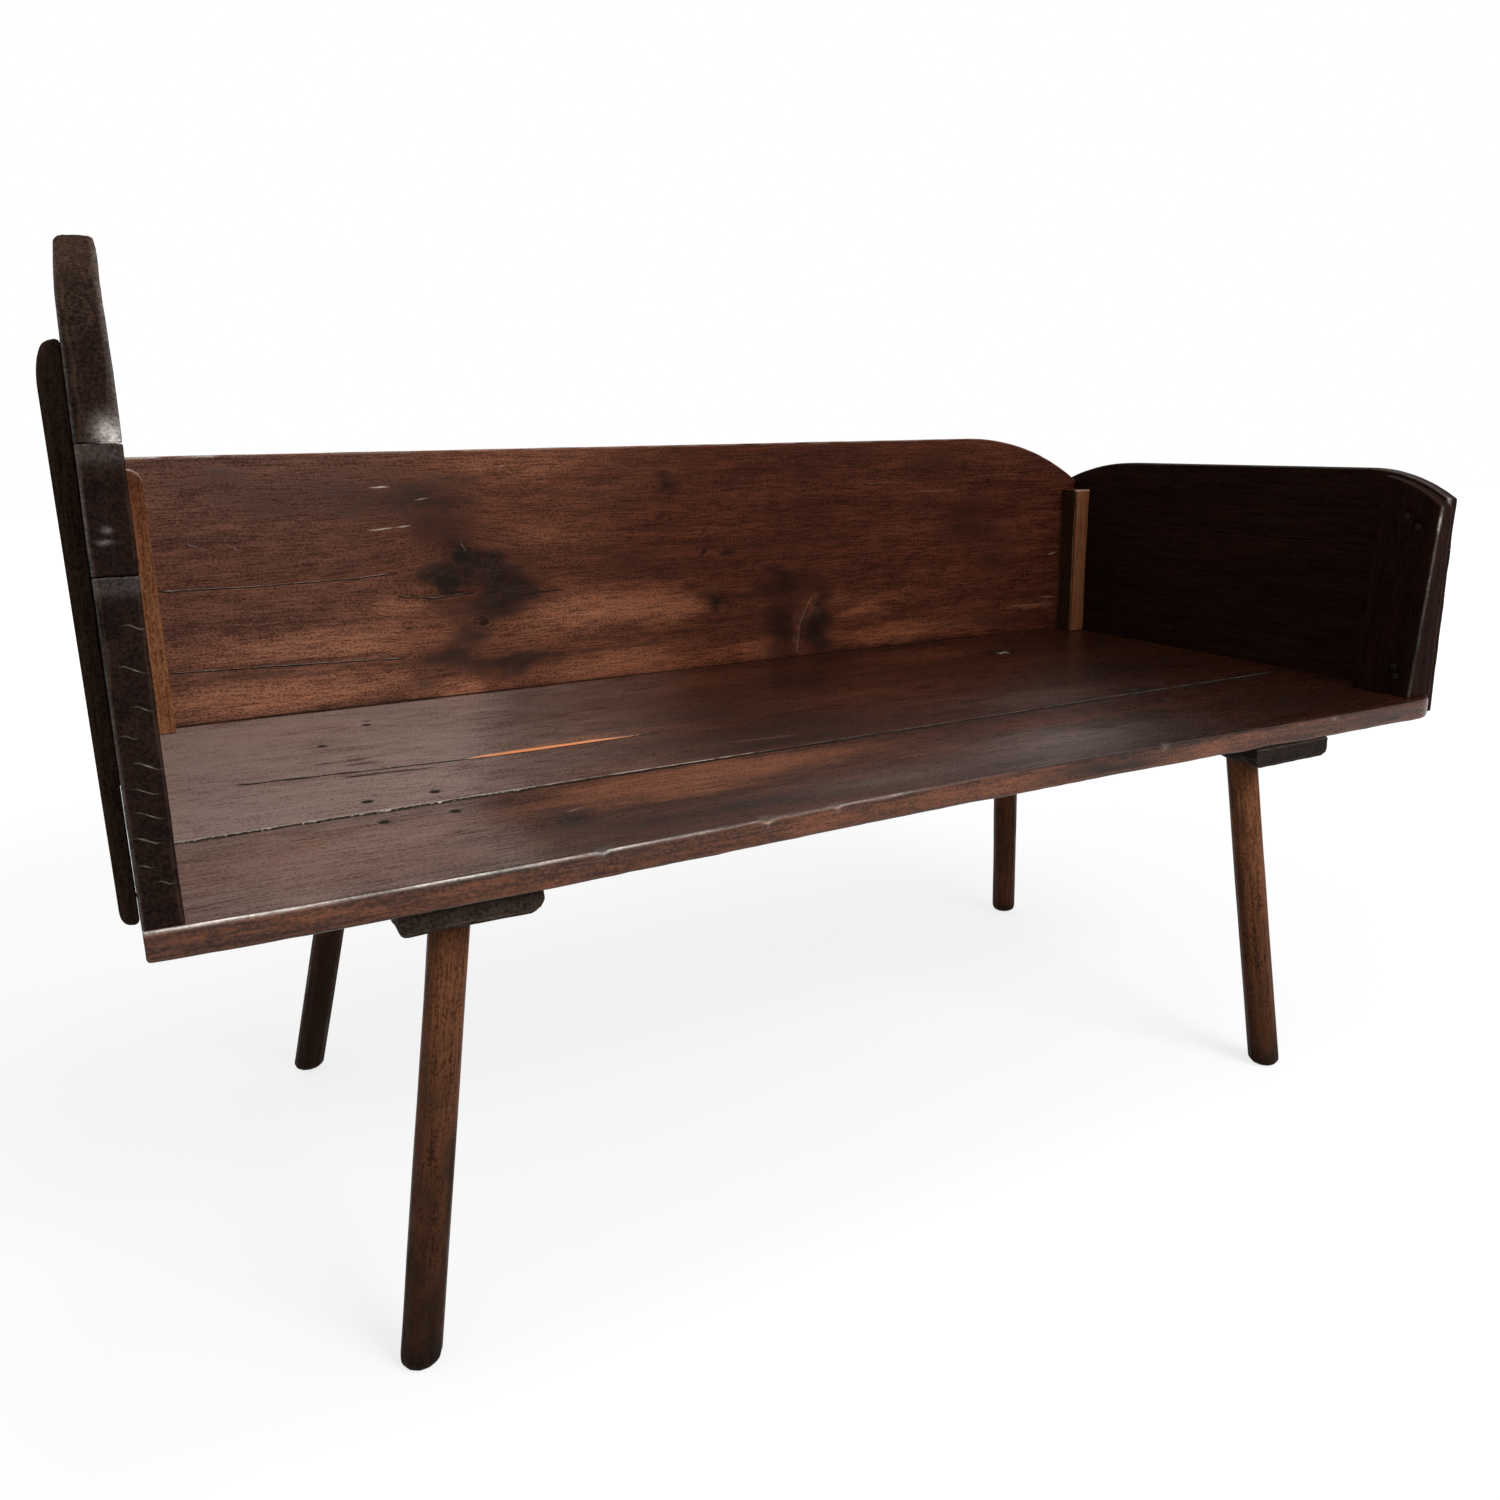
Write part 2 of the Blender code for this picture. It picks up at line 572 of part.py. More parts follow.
def nail_back(back, rear_plank, cleats, low_boards):
    """Nails through the back into the seat and corner cleats, and through the low end into its cleat."""
    length = BACK_THICKNESS + NAIL_END_GRIP
    row = (("left", BACK_NAIL_INSET), ("middle", SEAT_LENGTH / 2), ("right", SEAT_LENGTH - BACK_NAIL_INSET))
    for name, along in row:
        spot = (along, BACK_REAR_Y, SEAT_MIDDLE)
        drive_nail(f"nail_back_seat_{name}", spot, (0, -1, 0), length, (back, rear_plank))
    tall, low = cleats
    tall_x = TALL_END_THICKNESS + SEAM + TALL_CLEAT_WIDTH / 2
    low_x = SEAT_LENGTH - LOW_CLEAT_WIDTH / 2
    length = BACK_THICKNESS + NAIL_GRIP
    for name, cleat, along, height in (
        ("tall", tall, tall_x, TALL_CLEAT_HEIGHT / 2),
        ("low", low, low_x, LOW_CLEAT_HEIGHT / 2),
    ):
        spot = (along, BACK_REAR_Y, SEAT_BEARING + height)
        drive_nail(f"nail_back_cleat_{name}", spot, (0, -1, 0), length, (back, cleat))
    inset = SEAT_DEPTH - LOW_CLEAT_DEPTH / 2
    length = LOW_END_THICKNESS + NAIL_GRIP
    for name, board, height in (
        ("lower", low_boards[0], SEAT_TOP + LOW_LOWER_HEIGHT / 3),
        ("upper", low_boards[1], (LOW_UPPER_Z + SEAT_BEARING + LOW_CLEAT_HEIGHT) / 2),
    ):
        drive_nail(f"nail_low_cleat_{name}", (LOW_OUTER_X, inset, height), (-1, 0, 0), length, (board, low))


clear_scene()

CARRIER = bpy.data.objects.new("pew", None)
CARRIER.location = (-MIDDLE_X, -MIDDLE_Y, 0.0)
bpy.context.scene.collection.objects.link(CARRIER)

SEAT_WOOD = wood("seat_wood", (0.060, 0.026, 0.015), 0.38)
BACK_WOOD = wood("back_wood", (0.115, 0.034, 0.018), 0.42)
TALL_END_WOOD = wood("tall_end_wood", (0.022, 0.013, 0.010), 0.45)
LOW_END_WOOD = wood("low_end_wood", (0.014, 0.007, 0.006), 0.42)
CLEAT_WOOD = wood("cleat_wood", (0.150, 0.070, 0.028), 0.50)
BATTEN_WOOD = wood("batten_wood", (0.030, 0.019, 0.015), 0.60)
LEG_WOOD = wood("leg_wood", (0.075, 0.036, 0.018), 0.48)
IRON = iron("iron")

seat_planks = make_seat()
seat_battens = (
    make_seat_batten("seat_batten_left", BATTEN_LEFT_X, -1),
    make_seat_batten("seat_batten_right", BATTEN_RIGHT_X, 1),
)
leg_rear_y = SEAT_DEPTH - LEG_FROM_REAR
make_leg("leg_front_left", (BATTEN_LEFT_X, LEG_FROM_FRONT), SPLAY_FRONT_LEFT, seat_battens[0])
make_leg("leg_rear_left", (BATTEN_LEFT_X, leg_rear_y), SPLAY_REAR_LEFT, seat_battens[0])
make_leg("leg_front_right", (BATTEN_RIGHT_X, LEG_FROM_FRONT), SPLAY_FRONT_RIGHT, seat_battens[1])
make_leg("leg_rear_right", (BATTEN_RIGHT_X, leg_rear_y), SPLAY_REAR_RIGHT, seat_battens[1])

back_board = make_back()
tall_boards = make_tall_end()
tall_battens = (
    make_end_batten("tall_end_batten_front", END_BATTEN_INSET),
    make_end_batten("tall_end_batten_rear", END_BATTEN_REAR_START),
)
low_boards = make_low_end()
front_cleat = make_front_cleat()
corner_cleats = make_corner_cleats()

nail_seat(seat_planks, seat_battens)
nail_tall_end(tall_battens, tall_boards, seat_planks, back_board)
nail_low_end(low_boards, front_cleat, seat_planks)
nail_back(back_board, seat_planks[1], corner_cleats, low_boards)
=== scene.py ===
"""Looks of the church pew: worn varnished pine boards, shaved stick legs and forged nails.

Places are in metres on the bench: x along the seat from the tall end's outer face, y back from the
front edge, z up from the seat's top. Every board is worked out on a grid of a (along), b (across)
and n (through its thickness), and only the last step turns these into the row's x, y and z.
"""

import math

import bmesh
import bpy
import numpy as np
from mathutils import Matrix, Vector


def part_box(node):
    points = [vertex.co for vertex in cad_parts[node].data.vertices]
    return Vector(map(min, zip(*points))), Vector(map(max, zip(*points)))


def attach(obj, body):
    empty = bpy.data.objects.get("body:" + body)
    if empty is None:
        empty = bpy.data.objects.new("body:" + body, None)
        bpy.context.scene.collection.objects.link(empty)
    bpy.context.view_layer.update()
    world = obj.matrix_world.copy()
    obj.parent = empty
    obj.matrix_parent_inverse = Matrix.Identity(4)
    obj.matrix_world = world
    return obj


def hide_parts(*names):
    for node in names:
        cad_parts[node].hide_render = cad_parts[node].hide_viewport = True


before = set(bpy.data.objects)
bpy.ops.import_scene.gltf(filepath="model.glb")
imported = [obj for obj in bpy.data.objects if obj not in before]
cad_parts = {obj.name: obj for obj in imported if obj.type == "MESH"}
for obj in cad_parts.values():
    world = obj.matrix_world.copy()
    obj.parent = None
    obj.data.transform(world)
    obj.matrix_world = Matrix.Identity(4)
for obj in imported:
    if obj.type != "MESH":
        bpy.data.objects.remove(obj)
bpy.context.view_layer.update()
BODY = "root"
MILLIMETRE = 0.001

# The bench's own corner in the row frame
SEAT_LOW, SEAT_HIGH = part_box("seat_front_plank")
CORNER = np.array((SEAT_LOW.x, SEAT_LOW.y, SEAT_HIGH.z))

# Camera, fitted to the straight edges of the photograph
CAMERA_PLACE = (0.0020, -0.9365, 0.3432)
CAMERA_YAW = 27.917
CAMERA_PITCH = 14.598
CAMERA_ROLL = 0.924
SENSOR = 36.0
LENS = 29.52

# Stage: each lamp has its place and target on the bench, width, height and power
KEY_LAMP = ((2.0, -3.0, 2.2), (0.75, 0.4, 0.1), 2.2, 1.8, 110.0)
OVERHEAD_LAMP = ((0.45, 0.25, 1.9), (0.40, 0.25, 0.0), 0.8, 0.6, 12.0)
SOFT_LIGHT = 0.5
FLOOR_HALF = 14.0
FLOOR_LINES = 29
FLOOR_DROP = 0.0005
FLOOR_TONE = 0.77
FLOOR_FADE = (1.2, 4.0)

# Grid
BOARD_STEP = 0.0058
SMALL_STEP = 0.0040
LINE_GAP = 0.0004
RIM_LINES = np.array((0.0, 0.10, 0.25, 0.45, 0.70, 1.0, 1.5))
MARK_LINES = np.array((-1.5, -1.0, -0.7, -0.35, 0.0, 0.35, 0.7, 1.0, 1.5))
CORNER_POWER = 5.0
RIM_STEP = 0.0032
ARRIS_REACH = 0.0016
LINE_REACH = 0.008
LINE_FADE = 0.016
KNOT_REACH = 3.0

# Forms
SEAT_CORNER_RADIUS = 0.040
JOINT_SLANT = 0.013
JOINT_LEVEL_X = 0.55
JOINT_SHADE = 0.0032
JOINT_PLACES = (0.0, 0.62, 1.46)
BACK_FALL = (0.400, 0.230)
LOW_FRONT_FALL = (0.213, 0.118)
LOW_REAR_FALL = (0.405, 0.150)
FRONT_CLEAT_HEAD = 0.017
FRONT_CLEAT_DROP = 0.004
TALL_CLEAT_ROUND = 0.016
END_BATTEN_HEAD = (0.034, 0.0115)
END_BATTEN_FOOT = (0.012, 0.0060)
BATTEN_OUTER_ROUND = 0.0098
BATTEN_INNER_ROUND = 0.0165
LEG_RADIUS = 0.0185
LEG_TENON = 0.013
LEG_FACETS = 11
LEG_SIDES = 72
LEG_RINGS = 110
FOOT_ROUND = 0.009
FOOT_RINGS = 9
NAIL_HEAD = 0.0045
NAIL_SHANK = 0.0017
NAIL_POINT = 0.006
NAIL_SIDES = 16
PIT_RADIUS = 0.0075
PIT_DEPTH = 0.0012

# The front edge's bow: places along the seat, and how far the edge lies behind the corner there
FRONT_BOW = (
    (0.0, -0.003), (0.10, -0.008), (0.22, -0.009), (0.40, -0.005),
    (0.60, 0.002), (0.90, 0.007), (1.20, 0.005), (1.5, 0.003),
)

# Masks on every mesh; some carry painted light: shade among the stains, darkening and hollows, a painted
# sheen, and painted highlights along arrises and cracks
MASKS = ("stain", "ripe", "warm", "milk", "knot", "hollow", "raw", "fleck", "shine", "arris", "rift", "torn")


def eased(t):
    """Rise smoothly from 0 to 1 while t does: 3 t squared less 2 t cubed."""
    t = np.clip(t, 0.0, 1.0)
    return t * t * (3.0 - 2.0 * t)


def bell(distance, width):
    """e to minus the square of a distance in widths."""
    return np.exp(-((distance / width) ** 2))


def cloud(p, q, size_p, size_q, seed):
    """Smooth random values from -1 to 1: draws on a square lattice, eased between neighbours."""
    cells = 64
    draws = np.random.default_rng(seed).uniform(-1.0, 1.0, (cells, cells))
    p, q = p / size_p, q / size_q
    i, j = np.floor(p).astype(int), np.floor(q).astype(int)
    f, g = eased(p - i), eased(q - j)
    near = draws[i % cells, j % cells] * (1 - f) + draws[(i + 1) % cells, j % cells] * f
    far = draws[i % cells, (j + 1) % cells] * (1 - f) + draws[(i + 1) % cells, (j + 1) % cells] * f
    return near * (1 - g) + far * g


def spots(a, b, places, seed):
    """Sum of soft ellipses with ragged edges: centre a, b, half length, half width and strength of each."""
    ragged_a = a + 0.018 * cloud(a, b, 0.05, 0.016, seed) + 0.008 * cloud(a, b, 0.016, 0.006, seed + 1)
    ragged_b = b + 0.007 * cloud(a, b, 0.06, 0.018, seed + 2) + 0.003 * cloud(a, b, 0.02, 0.006, seed + 3)
    total = np.zeros_like(a)
    for centre_a, centre_b, half_a, half_b, strength in places:
        away = np.hypot((ragged_a - centre_a) / half_a, (ragged_b - centre_b) / half_b)
        total += strength * bell(away, 1.0)
    return total


def spot_rows(*rows):
    """Spots written with lengths in millimetres and a strength, as the same rows in metres."""
    return [(*(MILLIMETRE * length for length in row[:4]), row[4]) for row in rows]


def line_rows(*rows):
    """Lines written as a strength and places in millimetres, each as a strength and points in metres."""
    lines = []
    for strength, *lengths in rows:
        places = [MILLIMETRE * length for length in lengths]
        lines.append((strength, list(zip(places[::2], places[1::2]))))
    return lines


def dots(a, b, places):
    """Sum of small clean ellipses, each given as centre a, b, half length and half width."""
    return sum(bell(np.hypot((a - p) / half_a, (b - q) / half_b), 1.0) for p, q, half_a, half_b in places)


def path_at(a, points):
    """Where a split runs at each place along: straight between its points, flat beyond them."""
    places, heights = np.array(points).T
    return np.interp(a, places, heights)


def within(a, points, fade):
    """One along the points' stretch, easing to zero over a fade at both ends."""
    return eased((a - points[0][0]) / fade + 0.5) * eased((points[-1][0] - a) / fade + 0.5)


def nearest_line(a, b, lines):
    """Signed distance to the nearest of some lines, and how strongly that line shows.

    A line is a strength and its points, straight between them: a crack above zero, a pale scratch
    below it. Where a line climbs more than it runs, the distance is taken along instead of across.
    The strength fades past both ends and away from the line.
    """
    nearest = np.full_like(a, np.inf)
    rift, torn = np.zeros_like(a), np.zeros_like(a)
    for strength, points in lines:
        places, heights = np.array(points).T
        run, off = a, b
        if np.ptp(heights) > np.ptp(places):
            places, heights, run, off = heights, places, b, a
        order = np.argsort(places)
        places, heights = places[order], heights[order]
        gap = off - np.interp(run, places, heights)
        past = np.maximum(places[0] - run, run - places[-1])
        reach = np.hypot(gap, np.maximum(past, 0.0))
        closer = reach < nearest
        nearest = np.where(closer, reach, nearest)
        rift = np.where(closer, np.clip(gap, -LINE_REACH, LINE_REACH), rift)
        torn = np.where(closer, strength * eased(0.5 - past / LINE_FADE) * bell(gap, LINE_REACH), torn)
    return rift, torn


def bench_box(node):
    """A node's lowest and highest corner on the bench."""
    low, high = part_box(node)
    return np.array(low) - CORNER, np.array(high) - CORNER


def level(value):
    """A border that stays at one value."""
    return lambda a: np.full_like(a, value)


def falling(start, end, top, front=None, rear=None):
    """A top border: level, falling in a circle's arc of (radius, run) to either end."""

    def border(a):
        height = np.full_like(a, top)
        for edge, form, side in ((start, front, -1), (end, rear, 1)):
            if form:
                radius, run = form
                past = np.clip(side * (a - edge) + run, 0.0, radius)
                height -= radius - np.sqrt(radius**2 - past**2)
        return height

    return border


def crowded(length, step, rim, marks):
    """Shares of a length: even steps, drawn together at both rims and round each (place, reach) mark."""
    even = np.linspace(0.0, length, max(2, round(length / step) + 1))
    close = [place + reach * MARK_LINES for place, reach in marks]
    lines = np.concatenate([even, rim * RIM_LINES, length - rim * RIM_LINES, *close])
    kept = np.unique(np.round(lines / LINE_GAP)) * LINE_GAP
    inner = kept[(kept > LINE_GAP / 2) & (kept < length - LINE_GAP / 2)]
    return np.concatenate([[0.0], inner, [length]]) / length


def strip(start, end, low, high, bends=()):
    """Lay a grid between two border curves, its rows bent to follow splits.

    a runs evenly with u from start to end; b runs with v from the low border to the high one, and
    near each bend's level it moves by as much as the split's path leaves that level. Each point's
    distance to the four edges is measured square to them.
    """

    def lay(u, v):
        a = start + (end - start) * u
        below, above = low(a), high(a)
        grid_a = np.repeat(a[:, None], len(v), axis=1)
        grid_b = below[:, None] + (above - below)[:, None] * v
        for points, reach in bends:
            middle = np.mean([height for _, height in points])
            shift = path_at(grid_a, points) - middle
            grid_b = grid_b + shift * bell(grid_b - middle, reach)
        tilt_low = np.hypot(1.0, np.gradient(below, a))[:, None]
        tilt_high = np.hypot(1.0, np.gradient(above, a))[:, None]
        gaps = (grid_b - below[:, None]) / tilt_low, (above[:, None] - grid_b) / tilt_high
        return grid_a, grid_b, (grid_a - start, end - grid_a, *gaps)

    return lay


def arch(start, end, base, rise):
    """Lay a grid over a half ellipse: lines run from a narrower base line out to the curve.

    At share u the outer point is on the half ellipse at the angle u times a half turn, the inner
    point is on the base line under a narrower ellipse, and v runs straight from inner to outer.
    """
    half = (end - start) / 2
    waist = 0.80

    def lay(u, v):
        turn = np.pi * u[:, None]
        inner_a = start + half * (1 - waist * np.cos(turn))
        outer_a = start + half * (1 - np.cos(turn))
        outer_b = base + rise * np.sin(turn)
        grid_a = inner_a + (outer_a - inner_a) * v
        grid_b = base + (outer_b - base) * v
        along, up = (grid_a - start - half) / half, (grid_b - base) / rise
        reach = np.maximum(np.hypot(along, up), 1e-6)
        slope = np.hypot(along / half, up / rise) / reach
        far = np.full_like(grid_a, half)
        return grid_a, grid_b, (far, far, grid_b - base, (1 - reach) / slope)

    return lay


def quarter_round(away, radius):
    """How far a rounded arris falls: the radius less the circle's height at that distance."""
    inside = np.clip(radius - away, 0.0, radius)
    return radius - np.sqrt(np.maximum(radius**2 - inside**2, 0.0))


def rounded(away, radii, a, b, seed):
    """All four arrises of one face together: a high-power mean of their falls, worn unevenly."""
    wear = 1.0 + 0.35 * cloud(a, b, 0.05, 0.05, seed) + 0.25 * cloud(a, b, 0.014, 0.014, seed + 1)
    falls = [quarter_round(gap, np.maximum(radius * wear, 0.0004)) for gap, radius in zip(away, radii)]
    return np.sum(np.array(falls) ** CORNER_POWER, axis=0) ** (1 / CORNER_POWER)


def mesh_piece(name, points, quads, grain, masks, finish):
    """Put arrays of points, four-sided faces and masks into a smooth closed mesh whose faces point out."""
    corners = points[quads]
    volume = np.einsum("ij,ij->i", corners[:, 0], np.cross(corners[:, 1], corners[:, 2])).sum()
    volume += np.einsum("ij,ij->i", corners[:, 0], np.cross(corners[:, 2], corners[:, 3])).sum()
    if volume < 0:
        quads = quads[:, ::-1]
    mesh = bpy.data.meshes.new(name)
    mesh.vertices.add(len(points))
    mesh.vertices.foreach_set("co", (points + CORNER).astype(np.float32).ravel())
    mesh.loops.add(quads.size)
    mesh.loops.foreach_set("vertex_index", quads.astype(np.int32).ravel())
    mesh.polygons.add(len(quads))
    mesh.polygons.foreach_set("loop_start", np.arange(0, quads.size, 4, dtype=np.int32))
    mesh.update(calc_edges=True)
    lines = mesh.attributes.new("grain", "FLOAT_VECTOR", "POINT")
    lines.data.foreach_set("vector", grain.astype(np.float32).ravel())
    for word in MASKS:
        layer = mesh.attributes.new(word, "FLOAT", "POINT")
        layer.data.foreach_set("value", masks.get(word, np.zeros(len(points))).astype(np.float32).ravel())
    work = bmesh.new()
    work.from_mesh(mesh)
    bmesh.ops.remove_doubles(work, verts=work.verts, dist=1e-6)
    work.to_mesh(mesh)
    work.free()
    mesh.shade_smooth()
    mesh.materials.append(finish)
    piece = bpy.data.objects.new(name, mesh)
    bpy.context.scene.collection.objects.link(piece)
    return piece


def dress(piece, node):
    """Let a piece ride on the bench and stand for its node."""
    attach(piece, BODY)
    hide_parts(node)


def named(start):
    """The nodes whose names start with a word."""
    return [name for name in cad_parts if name.startswith(start)]


def board(node, finish, axes, arris, lay=None, top=None, size=None, faces=None, marks=((), ()),
          knots=(), nails=(), nail_side=1, upright=False, relief=None, tone=None, chips=None,
          step=SMALL_STEP, ring=RIM_STEP, seed=0):
    """A board as one closed surface of two parameters on each face, joined round the rim.

    Each face lies at its side of the thickness, less the quarter-round fall of its worn arrises,
    plus a planed ripple, the dishes round its nails and the board's own relief. Rings across the
    thickness join the two rims. Fibres flow round each knot: they move off it by a bell. Where no
    grid, size or faces are given, they are those of the node's box.
    """
    order = ["xyz".index(axis) for axis in axes]
    (low_a, low_b, low_n), (high_a, high_b, high_n) = (corner[order] for corner in bench_box(node))
    lay = lay or strip(low_a, high_a, level(low_b), top or level(high_b))
    size = size or (high_a - low_a, high_b - low_b)
    pits = [sum(bench_box(name))[order[:2]] / 2 for name in nails]
    rim = max(max(arris[0]), max(arris[1]), 0.002)
    marks_a = list(marks[0]) + [(p - low_a, PIT_RADIUS) for p, _ in pits]
    marks_b = list(marks[1]) + [(q - low_b, PIT_RADIUS) for _, q in pits]
    u = crowded(size[0], step, min(rim, size[0] / 4), marks_a)
    v = crowded(size[1], step, min(rim, size[1] / 4), marks_b)
    a, b, away = lay(u, v)
    faces = faces or (low_n, high_n)
    low, high = (face(a, b) if callable(face) else np.full_like(a, face) for face in faces)
    thick = high - low

    def dish(along, across):
        return sum((bell(np.hypot(along - p, across - q), PIT_RADIUS) for p, q in pits), 0.0 * along)

    def carved(side):
        ripple = 0.00025 * cloud(a, b, 0.30, 0.045, seed + 3) + 0.00010 * cloud(a, b, 0.12, 0.009, seed + 4)
        cut = PIT_DEPTH * dish(a, b) if side == nail_side else 0.0
        return ripple - cut + (relief(a, b, side) if relief else 0.0)

    worn = chips(a, b) if chips else 0.0
    under = low + np.minimum(rounded(away, arris[0], a, b, seed + 5), 0.485 * thick) - carved(-1)
    over = high - np.minimum(rounded(away, arris[1], a, b, seed + 7) + worn, 0.485 * thick) + carved(1)

    index = np.arange(a.size).reshape(a.shape)
    loop = np.concatenate([index[:-1, 0], index[-1, :-1], index[:0:-1, -1], index[0, :0:-1]])
    rings = max(2, round(float(np.max(thick)) / ring))
    share = (np.arange(1, rings) / rings)[:, None]
    rim_a, rim_b = a.ravel()[loop], b.ravel()[loop]
    rim_n = over.ravel()[loop] * (1 - share) + under.ravel()[loop] * share
    dent = 0.0005 * cloud(rim_a + rim_b + 0.0 * rim_n, rim_n, 0.045, 0.006, seed + 9) * np.sin(np.pi * share)
    out_a, out_b = np.roll(rim_b, -1) - np.roll(rim_b, 1), np.roll(rim_a, 1) - np.roll(rim_a, -1)
    stretch = np.maximum(np.hypot(out_a, out_b), 1e-9)

    all_a = np.concatenate([a.ravel(), a.ravel(), (rim_a + dent * out_a / stretch).ravel()])
    all_b = np.concatenate([b.ravel(), b.ravel(), (rim_b + dent * out_b / stretch).ravel()])
    all_n = np.concatenate([over.ravel(), under.ravel(), rim_n.ravel()])
    points = np.empty((len(all_a), 3))
    points[:, order] = np.stack([all_a, all_b, all_n], -1)

    flat = np.stack([index[:-1, :-1], index[1:, :-1], index[1:, 1:], index[:-1, 1:]], -1).reshape(-1, 4)
    between = 2 * index.size + np.arange((rings - 1) * len(loop)).reshape(rings - 1, -1)
    band = np.concatenate([loop[None], between, loop[None] + index.size])
    ahead = np.roll(band, -1, axis=1)
    wall = np.stack([band[:-1], band[1:], ahead[1:], ahead[:-1]], -1).reshape(-1, 4)
    quads = np.concatenate([flat, index.size + flat[:, ::-1], wall])

    flow = np.zeros_like(all_a)
    heart = np.zeros_like(all_a)
    for knot_a, knot_b, radius in knots:
        run, off = all_a - knot_a, all_b - knot_b
        flow -= 0.85 * off * bell(np.hypot(run / 2.2, off), 2.2 * radius)
        heart = np.maximum(heart, 1 - np.hypot(run / 1.25, off) / (KNOT_REACH * radius))
    grain = np.stack([all_b, all_a, all_n] if upright else [all_a, all_b + flow, all_n], -1)

    masks = tone(all_a, all_b, all_n) if tone else {}
    masks["knot"] = heart
    if pits:
        near_face = (all_n > np.mean(all_n)) if nail_side > 0 else (all_n < np.mean(all_n))
        masks["hollow"] = np.maximum(masks.get("hollow", 0.0), 0.9 * dish(all_a, all_b) * near_face)
    edge = np.min(np.array(away), axis=0).ravel()
    nearness = np.concatenate([edge, edge, (np.minimum(share, 1 - share) * thick.ravel()[loop]).ravel()])
    masks["arris"] = np.exp(-nearness / ARRIS_REACH)
    dress(mesh_piece(node + "_worn", points, quads, grain, masks, finish), node)


def ringed(radius, height, sides):
    """Rings of a turned profile about the upright axis: points as (ring, side, 3), and their quads."""
    angles = np.arange(sides) * (2 * np.pi / sides)
    points = np.empty((len(radius), sides, 3))
    points[..., 0] = radius[:, None] * np.cos(angles)
    points[..., 1] = radius[:, None] * np.sin(angles)
    points[..., 2] = height[:, None]
    index = np.arange(points.size // 3).reshape(points.shape[:2])
    ahead = np.roll(index, -1, axis=1)
    return points, np.stack([index[:-1], ahead[:-1], ahead[1:], index[1:]], -1).reshape(-1, 4)


class Wire:
    """A shader socket that Python's operators work on: each expression adds its Math node."""

    def __init__(self, finish, socket):
        self.finish = finish
        self.socket = socket

    def math(self, operation, first, second=0.0):
        return self.finish.node("ShaderNodeMath", {"operation": operation}, {0: first, 1: second})

    def __add__(self, other):
        return self.math("ADD", self, other)

    __radd__ = __add__

    def __sub__(self, other):
        return self.math("SUBTRACT", self, other)

    def __rsub__(self, other):
        return self.math("SUBTRACT", other, self)

    def __mul__(self, other):
        return self.math("MULTIPLY", self, other)

    __rmul__ = __mul__

    def __neg__(self):
        return self.math("SUBTRACT", 0.0, self)

    def __abs__(self):
        return self.math("ABSOLUTE", self)

    def most(self, other):
        """The larger of two values."""
        return self.math("MAXIMUM", self, other)

    def rise(self, low, high):
        """Ease from 0 at low to 1 at high."""
        settings = {"interpolation_type": "SMOOTHSTEP"}
        return self.finish.node("ShaderNodeMapRange", settings, {0: self, 1: low, 2: high, 3: 0.0, 4: 1.0})


class Finish:
    """A material being mixed: nodes are added one by one and end in its Principled shader."""

    def __init__(self, name):
        self.material = bpy.data.materials.new(name)
        self.material.use_nodes = True
        self.tree = self.material.node_tree
        self.shader = self.tree.nodes["Principled BSDF"]

    def join(self, value, socket):
        """Link a wire to a socket, or set its plain value."""
        if isinstance(value, Wire):
            self.tree.links.new(value.socket, socket)
        else:
            socket.default_value = value

    def node(self, kind, settings, sockets, output=0):
        """Add a node: its settings first, then a value or a wire for each socket."""
        made = self.tree.nodes.new(kind)
        for word, value in settings.items():
            setattr(made, word, value)
        for socket, value in sockets.items():
            self.join(value, made.inputs[socket])
        return Wire(self, made.outputs[output])

    def mask(self, word):
        """One of the mesh's own masks."""
        return self.node("ShaderNodeAttribute", {"attribute_name": word}, {}, "Fac")

    def streaks(self, vector, along, across, detail, rough, shift):
        """Noise about zero, drawn out along the grain: so many changes a metre along and across."""
        move = (shift, 1.7 * shift, 0.6 * shift)
        place = {"Vector": vector, "Location": move, "Scale": (along, across, across)}
        spread = self.node("ShaderNodeMapping", {}, place)
        sockets = {"Vector": spread, "Scale": 1.0, "Detail": detail, "Roughness": rough}
        return self.node("ShaderNodeTexNoise", {}, sockets) - 0.5

    def blend(self, share, first, second, mode="MIX"):
        """Mix two colours."""
        settings = {"data_type": "RGBA", "blend_type": mode, "clamp_factor": True}
        return self.node("ShaderNodeMix", settings, {0: share, 6: first, 7: second}, 2)

    def close(self, **sockets):
        """Join wires and plain values to the shader's sockets."""
        for word, value in sockets.items():
            self.join(value, self.shader.inputs[word.replace("_", " ")])
        return self.material


def paint(red, green, blue):
    """A colour written as screen values from 0 to 255, as the linear colour that a shader takes."""
    shares = np.array((red, green, blue)) / 255.0
    linear = np.where(shares <= 0.04045, shares / 12.92, ((shares + 0.055) / 1.055) ** 2.4)
    return (*linear.tolist(), 1.0)


SOOT = paint(27, 20, 18)
# Near black for pores, cracks, dirt in dents, and painted shade in joints and corners
DIRT_AND_SHADE = paint(12, 8, 7)
RAW_PINE = paint(218, 138, 92)
# Pale for scratches and specks, and for painted highlights on the lips of cracks
PALE_MARK_AND_HIGHLIGHT = paint(206, 190, 174)
# Near white for painted highlights on arrises and patches, and some pale wear
HIGHLIGHT_AND_WEAR_WHITE = paint(240, 230, 221)
# Grey for a painted sheen: reflections laid into the seat's and back's colour
SHEEN_GREY = paint(142, 122, 113)
# Multiplied in where the wood is drawn darker, partly painted shade
DARKENING_AND_SHADE_TINT = (0.50, 0.38, 0.33, 1.0)
STAIN_TINT = (0.24, 0.34, 0.45, 1.0)
KNOT_RING = (0.35, 0.33, 0.33, 1.0)
WARM_GLEAM = (1.0, 0.82, 0.68, 1.0)
SCRATCH_WIDTH = 0.0008


